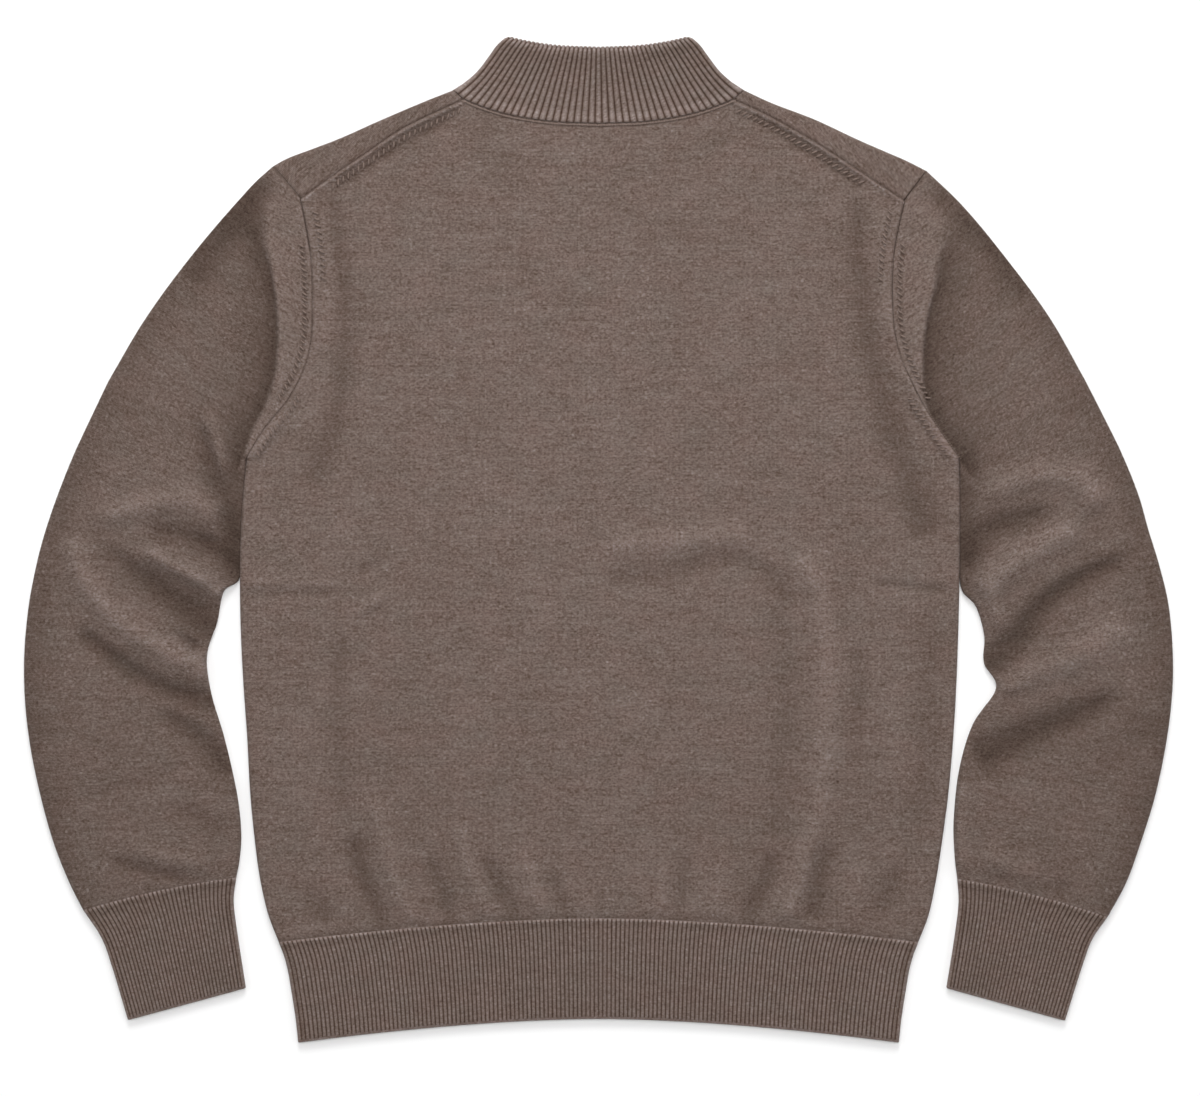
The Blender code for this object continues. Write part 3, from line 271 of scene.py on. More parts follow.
SLEEVE_FOLDS = {
    "left": table(Fold, [
        (-3, 12, [(-241, 267), (-263, 239), (-282, 212), (-299, 182)]),
        (5, (8, 11), [(-374, 13), (-336, 24), (-299, 29), (-271, 15)]),
        (1.4, 14, [(-359, 42), (-321, 51), (-288, 47)]),
        (-3.2, (8, 9), [(-336, 6), (-305, 3), (-279, -7), (-262, -18), (-252, -26)]),
        (-3.4, (6, 9), [(-306, 3), (-279, -7), (-262, -18), (-252, -26)]),
        (6, (6, 7), [(-337, -4), (-310, -19), (-276, -38), (-265, -46)]),
        (-6.4, (4, 14.5), [(-374, 4), (-343, -20), (-312, -43), (-282, -63), (-270, -70)]),
        (5.8, (8, 11), [(-387, 6), (-377, -26), (-350, -59), (-321, -79), (-287, -95), (-276, -101)]),
        (-6.5, (2.5, 4.5), [(-315, -63), (-302, -74), (-286, -83)]),
        (-5.2, (6, 8.2), [(-386, -62), (-365, -79), (-336, -100), (-307, -113), (-286, -119), (-273, -123)]),
        (-5.0, (6, 11), [(-330, -121), (-299, -140), (-274, -163), (-265, -177)]),
        (-1, 2.9, [(-387, -190), (-343, -180), (-296, -161)]),
        (-1.8, (5, 9), [(-328, -192), (-299, -201), (-268, -218)]),
        (3.2, (6, 10), [(-352, -220), (-321, -231), (-286, -237)]),
        (-4.4, (5, 10), [(-297, 100), (-286, 64), (-275, 27), (-263, -11)]),
        (3.4, 6.6, [(-290, 97), (-279, 69), (-270, 42)]),
        (-2, 5.9, [(-362, -234), (-330, -243), (-299, -249)]),
        (1.5, 4.4, [(-289, -226), (-287, -252)]),
        (1.3, 4.4, [(-317, -243), (-316, -259)]),
    ]),
    "right": table(Fold, [
        (-2.4, 9, [(243, 261), (268, 234), (294, 204), (316, 171)]),
        (4.8, (9, 11), [(278, 28), (301, 42), (329, 48), (354, 41), (370, 19)]),
        (-5.6, (13, 5), [(261, -20), (269, -13), (283, 5), (309, 15), (348, 20)]),
        (5.4, (11, 10), [(269, -38), (278, -34), (301, -20), (327, -3), (357, 11)]),
        (4.2, 6, [(283, -29), (290, -50), (296, -70)]),
        (-6.2, (11, 6), [(278, -97), (287, -90), (305, -76), (320, -55), (344, -34), (375, -19), (395, -11)]),
        (2.6, 5, [(290, -108), (301, -108), (313, -103)]),
        (5.2, (8, 15), [(284, -116), (294, -110), (316, -98), (353, -83), (391, -60)]),
        (-6, (15, 8), [(271, -163), (283, -158), (309, -146), (345, -131), (389, -111)]),
        (-1.2, 10.3, [(360, -174), (386, -152), (404, -123)]),
        (2.8, 5.6, [(266, -170), (265, -218), (267, -249)]),
        (2.6, (10, 8), [(274, -226), (299, -238), (324, -247)]),
        (-1.8, 5.1, [(282, -245), (284, -261)]),
        (-1.6, 5.1, [(295, -239), (296, -259)]),
        (1.5, 5.1, [(316, -233), (317, -258)]),
        (-1.8, 6.6, [(327, -249), (349, -262)]),
        (-2.3, 6.6, [(266, 45), (269, 23)]),
    ]),
}
FOLD_FADE = 14.0        # folds die out over this length, or more where they are narrow
DROP_DEPTH = 5.0        # how far the sleeve falls beside the armhole
DROP_ROUND = 1.8        # rounding of the edge that it falls over
DROP_SOFTEN = 9.0       # more rounding where it begins, at the shoulder
DROP_SHARPENS = 0.4     # share of the edge over which that wears off
DROP_REACH = 13.0       # over which it climbs again
DROP_START = 0.2        # share of that edge over which the fall grows
DROP_PAINTED_SHADE = 1.5         # painted shade: the foot of the fall is painted this much deeper than it is
TUCK_PAINTED_SHADE = 4.0       # painted shade: so is the sleeve's edge beside the body, in mm
DROP_LIP = 1.0          # the cloth swells a little before it falls
DROP_LIP_REACH = 5.0
HOLLOW_PAINTED_SHADE = 0.10      # painted shade: each mm of hollow darkens the cloth by this share
RIDGE_PAINTED_LIGHT = 0.05       # painted highlight: each mm of ridge lightens it
SEAM_PAINTED_SHADING = 4.0         # painted shade and highlight: a seam's line is painted this much deeper than it is, its ridge this much higher

# ---- seams: sunken line, then a ridge beside it ----
Seam = namedtuple("Seam", "groove groove_width ridge ridge_at ridge_width")
NECK_SINK = Seam(0.9, 0.6, 0.0, 2.2, 1.2)
NECK_LOWER_SINK = Seam(0.75, 0.55, 0.3, 2.0, 1.2)       # below the linking cord
NECK_CORD_AT = 1.25     # the cord lies this far below the neck seam
NECK_LOWER_AT = 2.5     # and this line bounds it
SHOULDER_SINK = Seam(0.8, 0.5, 1.9, 1.7, 0.9)
SHOULDER_STRIP_SINK = Seam(0.9, 1.0, 0.0, 2.0, 1.0)
SHOULDER_POINT_SINK = Seam(0.9, 0.8, 0.2, 2.4, 1.2)     # deeper over the shoulder
ARMHOLE_SINK = Seam(0.7, 0.55, 0.3, 1.8, 0.9)
MARKS_SINK = Seam(0.5, 1.2, 0.0, 1.0, 1.0)
MARKS_AT = 5.8          # fashioning marks run this far from the armhole
MARKS_SPAN = (104, 216) # between these heights in plan
HEM_SINK = Seam(0.45, 2.2, 0.1, 7.0, 2.2)


# ---- lines ----
def hermite(t, span, ends, slopes):
    """The places a share t of the way along one piece of a smooth curve."""
    return (
        (1 + 2 * t) * (1 - t) ** 2 * ends[0]
        + t * (1 - t) ** 2 * span * slopes[0]
        + t ** 2 * (3 - 2 * t) * ends[1]
        + t ** 2 * (t - 1) * span * slopes[1]
    )


def smooth_line(points, samples=CURVE_SAMPLES):
    """A smooth curve through the points, as many short straight steps."""
    points = np.asarray(points, float)
    at = lengths(points)
    slope = np.gradient(points, at, axis=0)
    t = np.linspace(0, 1, samples, endpoint=False)[:, None]
    spans = enumerate(np.diff(at))
    pieces = [hermite(t, span, points[i:i + 2], slope[i:i + 2]) for i, span in spans]
    return np.vstack([*pieces, points[-1:]])


def smooth_rows(rows, steps):
    """Rows read evenly from a smooth curve through a table's rows."""
    rows = np.array(rows, float)
    slope = np.gradient(rows, axis=0)
    places = np.linspace(0, len(rows) - 1, steps + 1)
    first = np.minimum(places.astype(int), len(rows) - 2)
    ends = np.stack([first, first + 1])
    return hermite((places - first)[:, None], 1.0, rows[ends], slope[ends])


def lengths(line):
    """Distance walked along a line, at each of its points."""
    steps = np.linalg.norm(np.diff(line, axis=0), axis=1)
    return np.concatenate([[0.0], np.cumsum(steps)])


def walk(line, distances):
    """The points that lie at these distances along a line."""
    at = lengths(line)
    return np.stack([np.interp(distances, at, line[:, i]) for i in range(line.shape[1])], axis=-1)


def walk_share(line, shares):
    return walk(line, np.asarray(shares) * lengths(line)[-1])


def graded(length, near=EDGE_STEPS, step=PANEL_STEP):
    """Places from 0 to length, closer together at both ends."""
    near = np.array(near)
    count = max(2, round((length - 2 * near[-1]) / step))
    middle = np.linspace(near[-1], length - near[-1], count + 1)
    return np.concatenate([near[:-1], middle, length - near[-2::-1]])


def unit(runs):
    """The same directions, each of them one long."""
    return runs / np.maximum(np.linalg.norm(runs, axis=-1, keepdims=True), 1e-9)


def side_rows(rows, side):
    """The left or the right columns of a table, as points with real x."""
    columns = slice(0, 2) if side == "left" else slice(2, 4)
    return np.array(rows)[:, columns] * (SIGNS[side], 1)


def on_both_sides(rows):
    """A smooth line for each side of the body, from a table's columns."""
    return {side: smooth_line(side_rows(rows, side)) for side in SIGNS}


SIDE_FOLDS = on_both_sides(SIDE_EDGE)           # from the hem to the underarm
ARMHOLES = on_both_sides(ARMHOLE[1:])           # from the shoulder seam's end to the underarm
SHOULDERS = on_both_sides(SHOULDER_SEAM)
SHOULDER_FOLDS = on_both_sides(SHOULDER_FOLD)


def mirrored(rows):
    """A half line from side to centre, carried on to the other side."""
    half = smooth_line(rows)
    return np.vstack([half * (-1, 1), half[-2::-1]])


def hem_bow(across):
    """How far a hem's curve lies above its ends; across runs from -1 to 1."""
    return HEM_RISE * (1 - np.abs(across) ** HEM_BOW)


def bowl(half_width, top_y, drop):
    """A deep curve that hangs between two points at the same height."""
    turn = -np.cos(np.linspace(0, math.pi, 4 * CURVE_SAMPLES + 1))
    return np.stack([turn * half_width, top_y - drop * (1 - np.abs(turn) ** BOWL_POWER)], axis=1)


def beside(line, distance):
    """The line moved sideways, to the left of the way that it runs."""
    run = unit(np.gradient(line, axis=0))
    return line + np.stack([-run[:, 1], run[:, 0]], axis=1) * distance


def part_of(line, first_y, last_y):
    """The stretch of a line between two heights in plan."""
    low, high = min(first_y, last_y), max(first_y, last_y)
    return line[(line[:, 1] >= low) & (line[:, 1] <= high)]


def ease(t):
    """A soft start and a soft end, from 0 to 1."""
    t = np.clip(t, 0.0, 1.0)
    return t * t * (3 - 2 * t)


def bump(away, at, width):
    """A soft bump, one high, around this distance."""
    return np.exp(-(((away - at) / width) ** 2))


def quarter(t):
    """Quarter round: 0 at the edge, 1 from one radius inwards."""
    t = np.clip(t, 0.0, 1.0)
    return np.sqrt(1 - (1 - t) ** 2)


def rounded(level, away, middle=BODY_MID, radius=FOLD_RADIUS):
    """The level, brought round to the middle height near an edge."""
    return middle + (level - middle) * quarter(away / radius)


def quarter_steps(radius):
    """Distances in from a round edge, evenly spaced around it."""
    return radius * (1 - np.cos(np.linspace(0, math.pi / 2, ROUND_STEPS + 1)))


# ---- heights ----
def off_line(x, y, line):
    """Distance from a line, the share walked along it, and which side.

    The side is 1 to the left of the way that the line runs, and -1 to the right.
    """
    best, share, side = np.full(x.shape, np.inf), np.zeros(x.shape), np.ones(x.shape)
    at = lengths(line) / lengths(line)[-1]
    for i, (dx, dy) in enumerate(np.diff(line, axis=0)):
        off_x, off_y = x - line[i, 0], y - line[i, 1]
        along = np.clip((off_x * dx + off_y * dy) / (dx * dx + dy * dy), 0, 1)
        off_x, off_y = off_x - along * dx, off_y - along * dy
        away = np.hypot(off_x, off_y)
        nearer = away < best
        best = np.where(nearer, away, best)
        share = np.where(nearer, at[i] + along * (at[i + 1] - at[i]), share)
        side = np.where(nearer, np.sign(dx * off_y - dy * off_x), side)
    return best, share, side


def fold_heights(x, y, folds):
    """The sum of the soft ridges and troughs at these places."""
    total = np.zeros_like(x)
    for fold in folds:
        line = smooth_line(fold.line, FOLD_SAMPLES)
        away, share, _ = off_line(x, y, line)
        first, last = np.broadcast_to(fold.reach, 2)
        widest = max(first, last)
        from_end = np.minimum(share * first, (1 - share) * last) * lengths(line)[-1] / widest
        reach = first + (last - first) * share
        rise = fold.rise * ease(from_end / FOLD_FADE) * np.sqrt(reach / widest)
        total += rise * bump(away, 0, reach)
    return total


def painted_shading(relief):
    """Painted shade in hollows and a painted highlight on ridges, against the flat cloth."""
    return np.exp(np.where(relief > 0, RIDGE_PAINTED_LIGHT, HOLLOW_PAINTED_SHADE) * relief)


def seam_heights(x, y, line, seam):
    """The sunken line and the ridge that a seam leaves in the cloth beside it."""
    away, _, _ = off_line(x, y, walk_share(line, SEAM_SHARES))
    groove = seam.groove * bump(away, 0, seam.groove_width)
    return seam.ridge * bump(away, seam.ridge_at, seam.ridge_width) - groove


def hem_seam_y(x):
    return SIDE_EDGE[0].left_y + hem_bow(np.minimum(np.abs(x) / SIDE_EDGE[0].left_out, 1))


def hem_line():
    x = HEM_SHARES * SIDE_EDGE[0].left_out
    return np.stack([x, hem_seam_y(x)], axis=1)


def neck_line():
    """The neck seam over the back, from one neck point to the other."""
    middle = mirrored(NECK_SEAM)
    return np.vstack([[(-NECK_POINT[0], NECK_POINT[1])], middle, [NECK_POINT]])


def body_painted_shade(x, y):
    """The painted shade of the back here as a whole, without its folds."""
    rows = np.array(BODY_PAINTED_SHADE)
    middle, side = (np.interp(y, rows[:, 0], rows[:, i]) for i in (1, 2))
    return middle + (side - middle) * ease(np.abs(x) / BODY_SHADE_OUT)


def side_distance(x, y):
    """How far a place on the body lies from the nearer side edge."""
    nearest = np.full(x.shape, np.inf)
    for sign, line in zip(SIGNS.values(), SIDE_FOLDS.values()):
        inward = sign * (np.interp(y, line[:, 1], line[:, 0]) - x)
        above = y > line[-1, 1] + TOUCH
        nearest = np.minimum(nearest, np.where(above, np.inf, np.maximum(inward, 0)))
    return nearest


def body_level(x, y):
    """The upper surface of the body before its sides round off."""
    crown = BODY_CROWN * np.maximum(0, 1 - (x / BODY_CROWN_REACH) ** 2)
    free = ease((y - hem_seam_y(x)) / HEM_HOLDS)
    level = BODY_TOP + free * (crown + fold_heights(x, y, BODY_FOLDS))
    return np.maximum(level, BODY_LOWEST)


# ---- cloth meshes ----
def new_object(name, data):
    """An object at the origin of the scene."""
    made = bpy.data.objects.new(name, data)
    bpy.context.scene.collection.objects.link(made)
    return made


def uv_row(across, along):
    """The UV of one row of a cloth, which lies this far along the wales."""
    return np.stack([across, np.full_like(across, along)], axis=1)


def cloth_object(name, points, uv, ring=False, cells=None, tone=1.0, **fields):
    """A sheet of cloth from a grid of points, facing away from its own middle.

    uv has one column more than points on a ring.  cells marks the grid's
    faces that exist, tone is the cloth's brightness at each point, with its
    painted light and shade, and fields are further numbers for each point.
    """
    rows, columns = points.shape[:2]
    spans = columns if ring else columns - 1
    cells = np.ones((rows - 1, spans), bool) if cells is None else cells
    row, column = np.nonzero(cells)
    corner_rows = np.stack([row, row, row + 1, row + 1], axis=1)
    corner_columns = np.stack([column, column + 1, column + 1, column], axis=1)
    faces = corner_rows * columns + corner_columns % columns
    places = points.reshape(-1, 3)
    corners = places[faces]
    normals = np.cross(corners[:, 2] - corners[:, 0], corners[:, 3] - corners[:, 1])
    outward = np.sum(normals[:, 2] * (corners[..., 2].mean(axis=1) - BODY_MID))
    if outward < 0:
        faces, corner_rows, corner_columns = (
            grid[:, ::-1] for grid in (faces, corner_rows, corner_columns))
    used, faces_used = np.unique(faces, return_inverse=True)
    mesh = bpy.data.meshes.new(name)
    mesh.from_pydata((places[used] * MM).tolist(), [], faces_used.reshape(faces.shape).tolist())
    layer = mesh.uv_layers.new(name="cloth")
    layer.data.foreach_set("uv", (uv[corner_rows, corner_columns] * MM).ravel())
    for label, values in dict(fields, tone=np.asarray(tone, float)).items():
        field = mesh.attributes.new(label, "FLOAT", "POINT")
        field.data.foreach_set("value", np.broadcast_to(values, (rows, columns)).ravel()[used])
    mesh.shade_smooth()
    return new_object(name, mesh)


def solid_points(plan, heights):
    """Places in plan, with a height for each."""
    return np.concatenate([plan, heights[..., None]], axis=-1)


def lap_over(edge, inside):
    """Move a seam edge a little over its seam, so that no gap shows."""
    moved = edge.copy()
    moved[..., :2] -= unit(inside[..., :2] - edge[..., :2]) * SEAM_LAP
    return moved


def roll_edge(points, uv, radius, ring):
    """Carry a grid's last row round a soft edge and a little way inside."""
    last = points[-1]
    forward = unit(last - points[-2])
    if ring:
        across = np.roll(last, -1, axis=0) - np.roll(last, 1, axis=0)
    else:
        across = np.gradient(last, axis=0)
    normal = unit(np.cross(across, forward))
    if np.sum(normal[:, 2] * (last[:, 2] - BODY_MID)) < 0:
        normal = -normal
    rolled, walked = [], []
    for angle in ROLL_TURNS:
        ahead = radius * math.sin(angle)
        rolled.append(last + forward * ahead - normal * radius * (1 - math.cos(angle)))
        walked.append(radius * angle)
    for share in ROLL_TUCK_SHARES:
        rolled.append(rolled[len(ROLL_TURNS) - 1] - forward * ROLL_TUCK * share)
        walked.append(radius * math.pi + ROLL_TUCK * share)
    slope = unit(uv[-1] - uv[-2])
    more_uv = uv[-1] + slope * np.array(walked)[:, None, None]
    return np.vstack([points, np.array(rolled)]), np.vstack([uv, more_uv])


# ---- body ----
def panel_plan(left, right, corner_out, top_line):
    """A plan grid over a body panel, from the hem's curve to its top line."""
    start, end = left[-1, 0], right[-1, 0]
    across = np.concatenate([
        graded(-corner_out - start)[:-1],
        graded(2 * corner_out)[:-1] - corner_out - start,
        graded(end - corner_out) + corner_out - start,
    ]) / (end - start)
    share = lengths(left) / lengths(left)[-1]
    grid = []
    for west, east, v in zip(left, right, share):
        x = west[0] + across * (east[0] - west[0])
        straight = west[1] + across * (east[1] - west[1])
        top_straight = left[-1, 1] + across * (right[-1, 1] - left[-1, 1])
        top = np.interp(start + across * (end - start), top_line[:, 0], top_line[:, 1])
        y = straight + hem_bow(2 * across - 1) * (1 - v) ** 2 + (top - top_straight) * v ** 3
        grid.append(np.stack([x, y], axis=1))
    return np.array(grid)


def lap_panel(plan, arm_start):
    """Lap a panel over its armhole, hem and top seams."""
    arm = slice(arm_start, None)
    plan[arm, 0] = lap_over(plan[arm, 0], plan[arm, 1])
    plan[arm, -1] = lap_over(plan[arm, -1], plan[arm, -2])
    plan[0] = lap_over(plan[0], plan[1])
    plan[-1] = lap_over(plan[-1], plan[-2])


def body_edges(further=()):
    """Both side edges of a panel, from the hem to the end of the armhole."""
    side_length = lengths(SIDE_FOLDS["left"])[-1]
    side_share = graded(side_length) / side_length
    arm_length = lengths(ARMHOLES["left"])[-1]
    arm_share = 1 - graded(arm_length)[1:] / arm_length
    edges = []
    for side in SIGNS:
        parts = [walk_share(SIDE_FOLDS[side], side_share), walk_share(ARMHOLES[side], arm_share)]
        if len(further):
            parts.append(walk_share(side_rows(ARMHOLE[:2], side)[::-1], further))
        edges.append(np.vstack(parts))
    return edges, len(side_share)


def make_back():
    edges, side_count = body_edges()
    top_line = np.vstack([
        SHOULDERS["left"], neck_line()[1:-1], SHOULDERS["right"][::-1],
    ])
    order = np.argsort(top_line[:, 0], kind="stable")
    plan = panel_plan(*edges, NECK_CORNER[0], top_line[order])
    uv = plan.copy()
    x, y = plan[..., 0], plan[..., 1]
    level = body_level(x, y)
    lines = [
        (neck_line(), NECK_SINK),
        (beside(neck_line(), -NECK_LOWER_AT), NECK_LOWER_SINK),
        (hem_line(), HEM_SINK),
    ]
    for side in SIGNS:
        lines += [(SHOULDERS[side], SHOULDER_SINK), (ARMHOLES[side], ARMHOLE_SINK)]
    seams = sum(seam_heights(x, y, line, sink) for line, sink in lines)
    level += seams
    # painted shade of the back, with painted light and shade on its folds and seams
    tone = body_painted_shade(x, y) * painted_shading(fold_heights(x, y, BODY_FOLDS) + SEAM_PAINTED_SHADING * seams)
    heights = rounded(level, side_distance(x, y))
    lap_panel(plan, side_count)
    return cloth_object("back_panel", solid_points(plan, heights), uv, tone=tone)


def shoulder_strip(side, shares):
    """The fold and the seam between which the front wraps over a shoulder."""
    return walk_share(SHOULDER_FOLDS[side], shares), walk_share(SHOULDERS[side], shares)


def make_front():
    """The front: its underside, then the strips that wrap over the shoulders."""
    wrap_length = lengths(side_rows(ARMHOLE[:2], "left"))[-1]
    further = graded(wrap_length - FOLD_RADIUS)[1:] / wrap_length
    edges, side_count = body_edges(further)
    shares = np.linspace(0, 1, SHOULDER_STEPS + 1)
    start = {}
    for side in SIGNS:
        fold, seam = shoulder_strip(side, shares)
        start[side] = fold + unit(seam - fold) * FOLD_RADIUS
    neckline = bowl(start["right"][-1, 0], start["right"][-1, 1], FRONT_NECK_DROP)
    top_line = np.vstack([start["left"][:-1], neckline, start["right"][-2::-1]])
    corner_out = start["right"][-1, 0]
    plan = panel_plan(*edges, corner_out, top_line)
    uv = plan.copy()
    heights = BODY_MID * (1 - quarter(side_distance(plan[..., 0], plan[..., 1]) / FOLD_RADIUS))
    last = len(plan) - 1
    neck = np.abs(plan[last, :, 0]) < corner_out - TOUCH
    strips = {
        side: np.flatnonzero(~neck & (plan[last, :, 0] * sign > 0)) for side, sign in SIGNS.items()}
    # painted shade on the front's strips
    tone = np.full(heights.shape, STRIP_PAINTED_SHADE)
    around = quarter_steps(FOLD_RADIUS)
    wraps = [(away, 0.0, -1) for away in around[-2::-1]] + [(away, 0.0, 1) for away in around[1:]]
    wraps += [(FOLD_RADIUS, share, 1) for share in STRIP_SHARES]
    grids = [plan, heights, uv, tone]
    for away, share, sign in wraps:
        more = [grid[last].copy() for grid in grids]
        row, row_heights, row_uv, row_tone = more
        for side, strip in strips.items():
            across = np.abs(plan[last, strip, 0] - start[side][0, 0])
            fold, seam = shoulder_strip(side, across / np.max(across))
            gap = np.linalg.norm(seam - fold, axis=1)
            out = away + share * (gap - FOLD_RADIUS)
            row[strip] = fold + unit(seam - fold) * out[:, None]
            reach = -BODY_MID
            if sign > 0:
                x, y = row[strip, 0], row[strip, 1]
                seams = seam_heights(x, y, SHOULDERS[side], SHOULDER_STRIP_SINK)
                seams += seam_heights(x, y, side_rows(ARMHOLE[:2], side), SHOULDER_POINT_SINK)
                reach = body_level(x, y) - BODY_MID + seams
                # painted shade of the strip, with painted light and shade along its seams
                row_tone[strip] = STRIP_PAINTED_SHADE * painted_shading(SEAM_PAINTED_SHADING * seams)
            row_heights[strip] = BODY_MID + reach * quarter(out / FOLD_RADIUS)
            row_uv[strip] = fold + np.stack([np.zeros_like(out), sign * out], axis=1)
        grids = [np.vstack([grid, added[None]]) for grid, added in zip(grids, more)]
    plan, heights, uv, tone = grids
    lap_panel(plan, side_count)
    cells = np.ones((len(plan) - 1, plan.shape[1] - 1), bool)
    cells[last:] = ~(neck[1:] | neck[:-1])
    return cloth_object("front_panel", solid_points(plan, heights), uv, cells=cells, tone=tone)


# ---- sleeves ----
def sleeve_drop(x, y, side):
    """The fall beside the armhole, the lip before it, and what lies outside of both."""
    line = walk_share(smooth_line(side_rows(SLEEVE_DROP, side)), SEAM_SHARES)
    away, share, turn = off_line(x, y, line)
    out = away * turn * SIGNS[side]
    round_off = DROP_ROUND + DROP_SOFTEN * (1 - ease(share / DROP_SHARPENS))
    outside = ease((out + round_off) / (2 * round_off))
    fall = outside * np.exp(-np.maximum(out, 0) / DROP_REACH)
    lip = bump(out, -DROP_LIP_REACH, DROP_LIP_REACH)
    start = ease(share / DROP_START)
    return start * DROP_DEPTH * fall, start * DROP_LIP * lip, outside


def upward(run):
    """The direction square to a run that points up the plan."""
    normal = np.array([-run[1], run[0]]) / np.hypot(*run)
    return normal if normal[1] >= 0 else -normal


def cuff_seam_bow(share, run):
    """The cuff seam bows a little towards the elbow."""
    return np.outer(CUFF_SEAM_BOW * 4 * share * (1 - share), upward(run))


def sleeve_sections(side):
    """Outer end, inner end, crown height, tuck and place of each section.

    The place runs from 0 to 1 beside the armhole, and from 1 to 2 below it.
    """
    flip = (SIGNS[side], 1)
    shares = np.linspace(0, 1, HEAD_STEPS + 1)
    head = walk_share(smooth_line(SLEEVE_HEAD[side]), shares) * flip
    armhole = walk_share(ARMHOLES[side], shares)
    crowns = BODY_TOP + (SLEEVE_SECTIONS[side][0].crown - BODY_TOP) * ease(shares)
    sections = [
        (*ends, 0.0, share) for *ends, share in zip(head[:-1], armhole[:-1], crowns[:-1], shares[:-1])]
    tube = smooth_rows(SLEEVE_SECTIONS[side], SLEEVE_RINGS)
    for number, row in enumerate(tube):
        place = 1 + number / SLEEVE_RINGS
        tuck = np.clip(row[5], 0, 1)
        inner = (row[2:4] - (TUCK_UNDER * tuck, 0)) * flip
        sections.append((row[:2] * flip, inner, row[4], tuck, place))
    return sections


def sleeve_half(side, section, columns, upper):
    """One section's points over the top or the underside, from inner to outer edge."""
    outer, inner, crown, tuck, place = section
    sewn = place < 1
    length = np.linalg.norm(outer - inner)
    swell = min(place, 1, (2 - place) / CUFF_SWELL_SHARE)
    outer_radius = FOLD_RADIUS + (SLEEVE_OUTER_RADIUS - FOLD_RADIUS) * swell
    inner_radius = FOLD_RADIUS + (TUCK_RADIUS - FOLD_RADIUS) * tuck
    first = quarter_steps(inner_radius)
    if sewn:
        first = np.concatenate([[0.0], np.linspace(0, FOLD_RADIUS, ROUND_STEPS)])
    middle = np.linspace(inner_radius, length - outer_radius, columns + 1)[1:-1]
    along = np.concatenate([first, middle, length - quarter_steps(outer_radius)[::-1]])
    share = along / length
    plan = inner + np.outer(share, outer - inner)
    near_cuff = max(0.0, 1 - (2 - place) / CUFF_BOW_SHARE)
    plan = plan + near_cuff * cuff_seam_bow(share, outer - inner)
    x, y = plan[:, 0], plan[:, 1]
    hold = tuck * (1 - ease((along - inner_radius) / TUCK_RISE))
    mid = BODY_MID * (1 - hold) + TUCK_HEIGHT / 2 * hold
    rounding = quarter((length - along) / outer_radius)
    if not sewn:
        rounding = np.minimum(rounding, quarter(along / inner_radius))
    if upper:
        level = BODY_TOP + (crown - BODY_TOP) * (1 - np.abs(2 * share - 1) ** SLEEVE_CROWN_POWER)
        if sewn:
            swelling = (1 - (1 - share) ** 2) * (1 - share ** SLEEVE_CROWN_POWER)
            level = BODY_TOP + (crown - BODY_TOP) * swelling * SLEEVE_HEAD_FULLNESS
        folds = fold_heights(x, y, SLEEVE_FOLDS[side])
        fall, lip, outside = sleeve_drop(x, y, side)
        seams = np.zeros_like(x)
        if sewn:
            marks = part_of(beside(ARMHOLES[side], SIGNS[side] * MARKS_AT), *MARKS_SPAN)
            seams += seam_heights(x, y, side_rows(ARMHOLE[:3], side), SHOULDER_POINT_SINK)
            seams += seam_heights(x, y, ARMHOLES[side], ARMHOLE_SINK)
            seams += seam_heights(x, y, marks, MARKS_SINK)
        else:
            outside = 1.0
        level = np.maximum(level + folds - fall + lip + seams, SLEEVE_LOWEST)
        level = level * (1 - hold) + TUCK_HEIGHT * hold
        # painted shade along the sleeve's outer edge
        edge = SLEEVE_EDGE_PAINTED_SHADE * bump(length - along, 0, SLEEVE_EDGE_REACH)
        # painted shade, in mm: at the foot of the fall and on the edge beside the body
        painted_shade_depth = DROP_PAINTED_SHADE * fall + TUCK_PAINTED_SHADE * hold + edge
        # painted light and shade of folds, lip and seams, less the painted hollows, with the sleeves' painted
        # shade outside the fall
        tone = painted_shading(folds + lip + SEAM_PAINTED_SHADING * seams - painted_shade_depth) * (1 - (1 - SLEEVE_PAINTED_SHADE) * outside)
        return solid_points(plan, mid + (level - mid) * rounding), along, tone
    # the underside carries the sleeves' painted shade
    return solid_points(plan, mid * (1 - rounding)), along, np.full_like(along, SLEEVE_PAINTED_SHADE)


